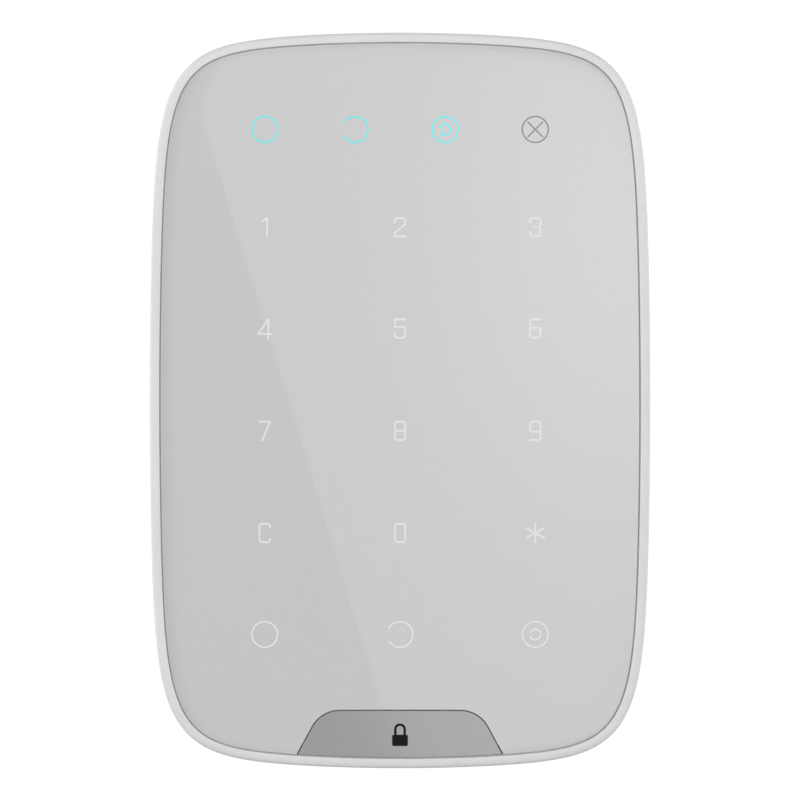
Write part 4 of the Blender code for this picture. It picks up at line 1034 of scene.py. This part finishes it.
def make_pin(name, top, radius, flange, at, node):
    """A pushed part for a CAD node of the same name as its body: a top, a flange and a nose."""
    flange_radius, flange_top, flange_back, nose_end = flange
    profile = [
        *top,
        (radius, flange_top),
        (flange_radius, flange_top),
        (flange_radius, flange_back),
        (NOSE_RADIUS, flange_back),
        (NOSE_RADIUS, nose_end),
        (0.0, nose_end),
    ]
    pin = set_down(turned(name, profile), "Y", at)
    return dress(smooth(pin), GREY, node, "grey_moulding", node)


def make_button():
    """The round cap in the recess: a shallow dish with a rounded rim."""
    dish = [
        (radius, -POWER_DISH_DEPTH * (1.0 - (radius / POWER_DISH_RADIUS) ** 2))
        for radius in (0.0, 0.5, 1.0, 1.5, 1.9, POWER_DISH_RADIUS)
    ]
    flat_end = POWER_RADIUS - POWER_EDGE
    rim = [
        (flat_end + POWER_EDGE * math.sin(a), -POWER_EDGE * (1.0 - math.cos(a)))
        for a in POWER_EDGE_TURNS
    ]
    top = [*dish, (POWER_DISH_RADIUS + 0.2, 0.0), (flat_end, 0.0), *rim]
    at = (POWER_X, POWER_TOP, POWER_Z)
    make_pin("button_cap", top, POWER_RADIUS, POWER_FLANGE, at, "power_button")


def make_plunger():
    """The pin whose domed tip rests on the wall."""
    dome = [(TAMPER_RADIUS * along, -TAMPER_DOME * across) for across, along in quarter_round()]
    at = (TAMPER_X, TAMPER_TIP, TAMPER_Z)
    make_pin("plunger_pin", dome, TAMPER_RADIUS, TAMPER_FLANGE, at, "tamper_plunger")


# ---- symbols


def stroke(bm, path, width, y, closed=False):
    """A thin band of the given width along a path, with round ends."""
    half = width / 2
    count = len(path)
    left, right = [], []
    for i, p in enumerate(path):
        before = path[i - 1] if closed or i else None
        after = path[(i + 1) % count] if closed or i < count - 1 else None
        ways = [(p - before).normalized()] if before is not None else []
        ways += [(after - p).normalized()] if after is not None else []
        way = sum(ways, Vector((0.0, 0.0))).normalized()
        side = Vector((-way.y, way.x))
        reach = half / max(0.35, way.dot(ways[0]))
        left.append(p + side * reach)
        right.append(p - side * reach)
    tips = []
    for end, near in () if closed else ((0, 1), (-1, -2)):
        out = (path[end] - path[near]).normalized()
        turn = math.degrees(math.atan2(out.y, out.x))
        tips.append(arc(path[end], half, turn - 90.0, turn + 90.0, 10)[1:-1])
    borders = []
    for depth in (y, y + GLYPH_THICK):
        a, b = place(left, depth, bm), place(right, depth, bm)
        for i in range(count if closed else count - 1):
            j = (i + 1) % count
            bm.faces.new((a[i], a[j], b[j], b[i]))
        if closed:
            borders.append((a, b))
            continue
        first, last = [place(tip, depth, bm) for tip in tips]
        bm.faces.new((a[0], *first, b[0]))
        bm.faces.new((b[-1], *last, a[-1]))
        borders.append(([*first, *b, *last, *reversed(a)],))
    for front, back in zip(*borders):
        bridge(bm, front, back)


# Each numeral's strokes are (corner points, corner radii, closed).
W, H, R = 1.07, 1.87, 0.57  # half width, half height and corner radius of a numeral
SIX = (
    ([(W, H), (-W, H), (-W, -1.0)], [0, R, 0], False),
    ([(-W, -H), (W, -H), (W, 0.2), (-W, 0.2)], R, True),
)
NUMERALS = {
    "1": [([(0.49, 1.85), (0.49, -1.85)], 0, False), ([(0.46, 1.82), (-0.45, 1.2)], 0, False)],
    "2": [
        ([(-W, 0.9), (-W, H), (W, H), (W, 0.62), (-W, -1.12), (-W, -H)], [0, R, R, 0.5, 0.4, 0], False),
        ([(-W, -H), (W, -H)], 0, False),
    ],
    "3": [
        ([(-1.05, 0.95), (-1.05, H), (W, H), (W, 0.32), (0.7, -0.03)], [0, R, R, 0.3, 0], False),
        ([(-1.05, -1.0), (-1.05, -1.9), (W, -1.9), (W, -0.38), (0.7, -0.03)], [0, R, R, 0.3, 0], False),
        ([(-0.2, -0.03), (0.7, -0.03)], 0, False),
    ],
    "4": [
        ([(0.64, 1.87), (-1.3, -1.07)], 0, False),
        ([(-1.3, -1.07), (1.37, -1.07)], 0, False),
        ([(0.73, 1.87), (0.73, -1.97)], 0, False),
    ],
    "5": [
        ([(W, H), (-W, H)], 0, False),
        ([(-W, H), (-W, 0.2)], 0, False),
        ([(-W + 0.1, 0.4), (W, 0.4), (W, -H), (-W, -H), (-W, -0.85)], [0, R, R, R, 0], False),
    ],
    "6": SIX,
    "7": [([(-W, H), (1.05, H)], 0, False), ([(1.05, H), (-0.5, -2.0)], 0, False)],
    "8": [
        ([(-W, 0.0), (W, 0.0), (W, H), (-W, H)], 0.52, True),
        ([(-W, -H), (W, -H), (W, 0.0), (-W, 0.0)], 0.52, True),
    ],
    "9": [([(-x, -z) for x, z in points], radii, closed) for points, radii, closed in SIX],
    "C": [([(W, 1.15), (W, H), (-W, H), (-W, -H), (W, -H), (W, -1.15)], [0, R, R, R, R, 0], False)],
    "0": [([(-W, -H), (W, -H), (W, H), (-W, H)], R, True)],
    "star": [
        ([(0.0, 2.0), (0.0, -2.0)], 0, False),
        ([(-1.8, -1.0), (1.8, 1.0)], 0, False),
        ([(-1.8, 1.0), (1.8, -1.0)], 0, False),
    ],
}


def symbol(name, centre, paths, width, material, slot, front=GLYPH_FRONT):
    """One symbol from its paths, each (points, closed), placed at centre."""
    bm = bmesh.new()
    for k, (path, closed) in enumerate(paths):
        moved = [Vector((p.x + centre[0], p.y + centre[1])) for p in path]
        stroke(bm, moved, width, front + GLYPH_STEP * k, closed)
    return dress(mesh_object(name, bm), material, "keypad_unit", slot)


def numeral(key, column, row):
    """One key's symbol."""
    paths = [(rounded(points, radii, closed), closed) for points, radii, closed in NUMERALS[key]]
    symbol("numeral_" + key, (column, row), paths, NUMERAL_STROKE, NUMERAL, "printed_film")


def ring(radius, gap_deg=0.0, steps=72):
    """A ring, open on its left by twice the gap angle, as (points, closed)."""
    if gap_deg:
        return arc((0.0, 0.0), radius, gap_deg - 180.0, 180.0 - gap_deg, steps), False
    return circle((0.0, 0.0), radius, steps), True


def icon_paths(radius, scale=1.0):
    """The three mode symbols: a ring, an open ring, and a ring with a small open ring in it."""
    return [
        [ring(radius)],
        [ring(radius, 32.0)],
        [ring(radius), ring(1.08 * scale, 22.0, 48)],
    ]


def make_padlock():
    """A plain padlock on the badge: a filled body and its shackle."""
    front = BADGE_FACE - 0.02
    x, y = around(0.0, PADLOCK_HALF), (front, front + GLYPH_THICK)
    body = block(x, y, PADLOCK_BODY, PADLOCK_CORNER, "badge_padlock_body")
    dress(body, INK, "keypad_unit", "badge_face")
    leg = SHACKLE_FOOT - SHACKLE_AT
    shackle = [
        Vector((-SHACKLE_RADIUS, leg)),
        *arc((0.0, 0.0), SHACKLE_RADIUS, 180.0, 0.0, 18),
        Vector((SHACKLE_RADIUS, leg)),
    ]
    at = (0.0, SHACKLE_AT)
    paths = [(shackle, False)]
    symbol("badge_padlock_shackle", at, paths, SHACKLE_STROKE, INK, "badge_face", front + GLYPH_STEP)


def make_symbols():
    """The keys' numerals, the mode symbols, the status symbols and the badge's padlock."""
    keys = (("1", "2", "3"), ("4", "5", "6"), ("7", "8", "9"), ("C", "0", "star"))
    columns = (-COLUMN, 0.0, COLUMN)
    for row, names in zip(DIGIT_ROWS, keys):
        for column, name in zip(columns, names):
            numeral(name, column, row)
    for k, (column, paths) in enumerate(zip(columns, icon_paths(MODE_RADIUS)), 1):
        symbol(f"mode_symbol_{k}", (column, LOWER_ROW), paths, MODE_STROKE, PRINT, "printed_film")
    places = (-COLUMN, -STATUS_COLUMN, STATUS_COLUMN)
    for k, (column, paths) in enumerate(zip(places, icon_paths(LIT_RADIUS, 1.02)), 1):
        symbol(f"status_symbol_{k}", (column, STATUS_ROW), paths, LIT_STROKE, LIT, "lamp")
    arm = CROSS_ARM
    cross = [
        ([Vector((-arm, -arm)), Vector((arm, arm))], False),
        ([Vector((-arm, arm)), Vector((arm, -arm))], False),
    ]
    paths = [ring(UNLIT_RADIUS), *cross]
    symbol("status_symbol_4", (COLUMN, STATUS_ROW), paths, UNLIT_STROKE, UNLIT, "printed_film")
    make_padlock()


# ---- light, floor and camera

CARD_DISTANCE = 2.0
EYE_DISTANCE = 1.3559  # from the camera to the panel's face
SPREAD = (EYE_DISTANCE + CARD_DISTANCE) / EYE_DISTANCE  # the card's pattern against its reflection
CARD_HALF = 0.55

# The card's pattern, in millimetres of its reflection on the panel. A slanted line runs through STEP_X and
# STEP_Z; past it the card is brighter by STEP, and by a glow that is strongest at GLOW_X and GLOW_Z.
BASE = 0.8
STEP, STEP_X, STEP_Z, STEP_SLANT, STEP_SOFT = 0.42, -42.06, 63.3, 0.3067, 0.15
GLOW, GLOW_X, GLOW_Z, GLOW_WIDTH, GLOW_HEIGHT = 0.90, 44.9, 33.7, 38.0, 65.0
# How it fades outside the panel, as (axis, from, to, share there, share here).
FADES = (
    ("X", -130.0, -108.0, 0.0, 1.0),
    ("X", -115.0, -45.0, 0.35, 1.0),
    ("Z", 120.0, 172.0, 1.0, 0.3),
    ("Z", -170.0, -115.0, 0.4, 1.0),
)

# The world's brightness all round, and what each side adds. ABOVE takes light away towards the zenith.
ALL_ROUND = 0.90
ABOVE = -0.77
FROM_LEFT, FROM_RIGHT, FROM_FRONT, FROM_BACK = 0.78, 0.40, 1.0, 0.45


def maths(operation, *values):
    """A math node on a socket and then sockets or numbers; its result socket."""
    tree = values[0].id_data
    made = tree.nodes.new("ShaderNodeMath")
    made.operation = operation
    for target, value in zip(made.inputs, values):
        if isinstance(value, float):
            target.default_value = value
        else:
            tree.links.new(value, target)
    return made.outputs[0]


plus, minus, times = [functools.partial(maths, name) for name in ("ADD", "SUBTRACT", "MULTIPLY")]


def smooth_step(value, low, high, at_low, at_high):
    """A smooth change from at_low to at_high as the value runs from low to high; its result socket."""
    tree = value.id_data
    made = tree.nodes.new("ShaderNodeMapRange")
    made.interpolation_type = "SMOOTHSTEP"
    for name, number in (("From Min", low), ("From Max", high), ("To Min", at_low), ("To Max", at_high)):
        made.inputs[name].default_value = number
    tree.links.new(value, made.inputs["Value"])
    return made.outputs["Result"]


def axes(tree, output):
    """The X, Y and Z sockets of one of the tree's texture coordinates."""
    split = tree.nodes.new("ShaderNodeSeparateXYZ")
    tree.links.new(tree.nodes.new("ShaderNodeTexCoord").outputs[output], split.inputs[0])
    return split.outputs


def card_level(across, up):
    """The card's brightness at a place of its reflection, as a socket."""
    line = STEP_X + STEP_SLANT * STEP_Z
    slanted = plus(across, times(up, STEP_SLANT))
    past_line = smooth_step(slanted, line - STEP_SOFT, line + STEP_SOFT, 0.0, 1.0)
    left_of_glow = maths("MINIMUM", times(minus(across, GLOW_X), 1.0 / GLOW_WIDTH), 0.0)
    above_glow = times(minus(up, GLOW_Z), 1.0 / GLOW_HEIGHT)
    squares = plus(times(left_of_glow, left_of_glow), times(above_glow, above_glow))
    glow = times(maths("EXPONENT", times(squares, -1.0)), GLOW)
    level = plus(times(past_line, plus(glow, STEP)), BASE)
    for axis, start, end, at_start, at_end in FADES:
        value = across if axis == "X" else up
        level = times(level, smooth_step(value, start, end, at_start, at_end))
    return level


def make_light_card():
    """A large softbox behind the camera: dim on its left, brighter past a slanted edge."""
    bm = bmesh.new()
    half = CARD_HALF
    corners = [(-half, 0.0, -half), (half, 0.0, -half), (half, 0.0, half), (-half, 0.0, half)]
    bm.faces.new([bm.verts.new(c) for c in corners])
    card = mesh_object("light_card", bm)
    card.location = (0.0, PANEL_FACE * MM - CARD_DISTANCE, 0.0)
    material = bpy.data.materials.new("light_card")
    material.use_nodes = True
    tree = material.node_tree
    tree.nodes.remove(tree.nodes["Principled BSDF"])
    emission = tree.nodes.new("ShaderNodeEmission")
    tree.links.new(emission.outputs[0], tree.nodes["Material Output"].inputs["Surface"])
    place = axes(tree, "Object")
    across, up = [times(place[axis], 1.0 / (SPREAD * MM)) for axis in "XZ"]
    tree.links.new(card_level(across, up), emission.inputs["Strength"])
    card.data.materials.append(material)
    card.visible_camera = False
    card.visible_shadow = False


def make_floor():
    """A plain pale floor, well below the object."""
    bm = bmesh.new()
    bmesh.ops.create_circle(bm, cap_ends=True, segments=96, radius=3.0)
    floor = mesh_object("floor", bm)
    floor.location = (0.0, 0.0, -0.4)
    look = Look("floor_paint", specular=0.2)
    look.colour(look.noise(6.0, 3.0), (0.80, 0.80, 0.80), (0.82, 0.82, 0.82))
    look.roughness(look.noise(20.0, 2.0), 0.7, 0.85)
    floor.data.materials.append(look.material)


def make_world():
    """Soft light from all round, strongest from the front and the left, and a white backdrop."""
    scene = bpy.context.scene
    world = bpy.data.worlds.new("studio")
    scene.world = world
    world.use_nodes = True
    tree = world.node_tree
    light = tree.nodes["Background"]
    light.inputs["Color"].default_value = (1.0, 1.0, 1.0, 1.0)
    backdrop = tree.nodes.new("ShaderNodeBackground")
    backdrop.inputs["Color"].default_value = (1.0, 1.0, 1.0, 1.0)
    backdrop.inputs["Strength"].default_value = 1.05
    way = axes(tree, "Generated")
    level = plus(times(maths("MAXIMUM", way["Z"], 0.0), ABOVE), ALL_ROUND)
    sides = (("X", -1.0, FROM_LEFT), ("X", 1.0, FROM_RIGHT), ("Y", -1.0, FROM_FRONT), ("Y", 1.0, FROM_BACK))
    for axis, sign, share in sides:
        facing = maths("MAXIMUM", times(way[axis], sign), 0.0)
        level = plus(level, times(times(facing, facing), share))
    tree.links.new(level, light.inputs["Strength"])
    mix = tree.nodes.new("ShaderNodeMixShader")
    tree.links.new(tree.nodes.new("ShaderNodeLightPath").outputs["Is Camera Ray"], mix.inputs["Fac"])
    tree.links.new(light.outputs[0], mix.inputs[1])
    tree.links.new(backdrop.outputs[0], mix.inputs[2])
    tree.links.new(mix.outputs[0], tree.nodes["World Output"].inputs["Surface"])


def make_camera():
    """A long lens straight in front of the panel."""
    scene = bpy.context.scene
    data = bpy.data.cameras.new("camera")
    data.lens = 300.0
    data.sensor_width = 36.0
    data.clip_end = 50.0
    camera = bpy.data.objects.new("camera", data)
    scene.collection.objects.link(camera)
    camera.location = (0.0, -1.3699, 0.000092)
    camera.rotation_euler = (math.pi / 2, 0.0, 0.0)
    scene.camera = camera
    scene.view_settings.view_transform = "Standard"


dress_nodes()
make_bezel()
make_panel()
make_badge()
make_symbols()
make_rear()
make_bracket()
make_screws()
make_button()
make_plunger()
make_light_card()
make_floor()
make_world()
make_camera()
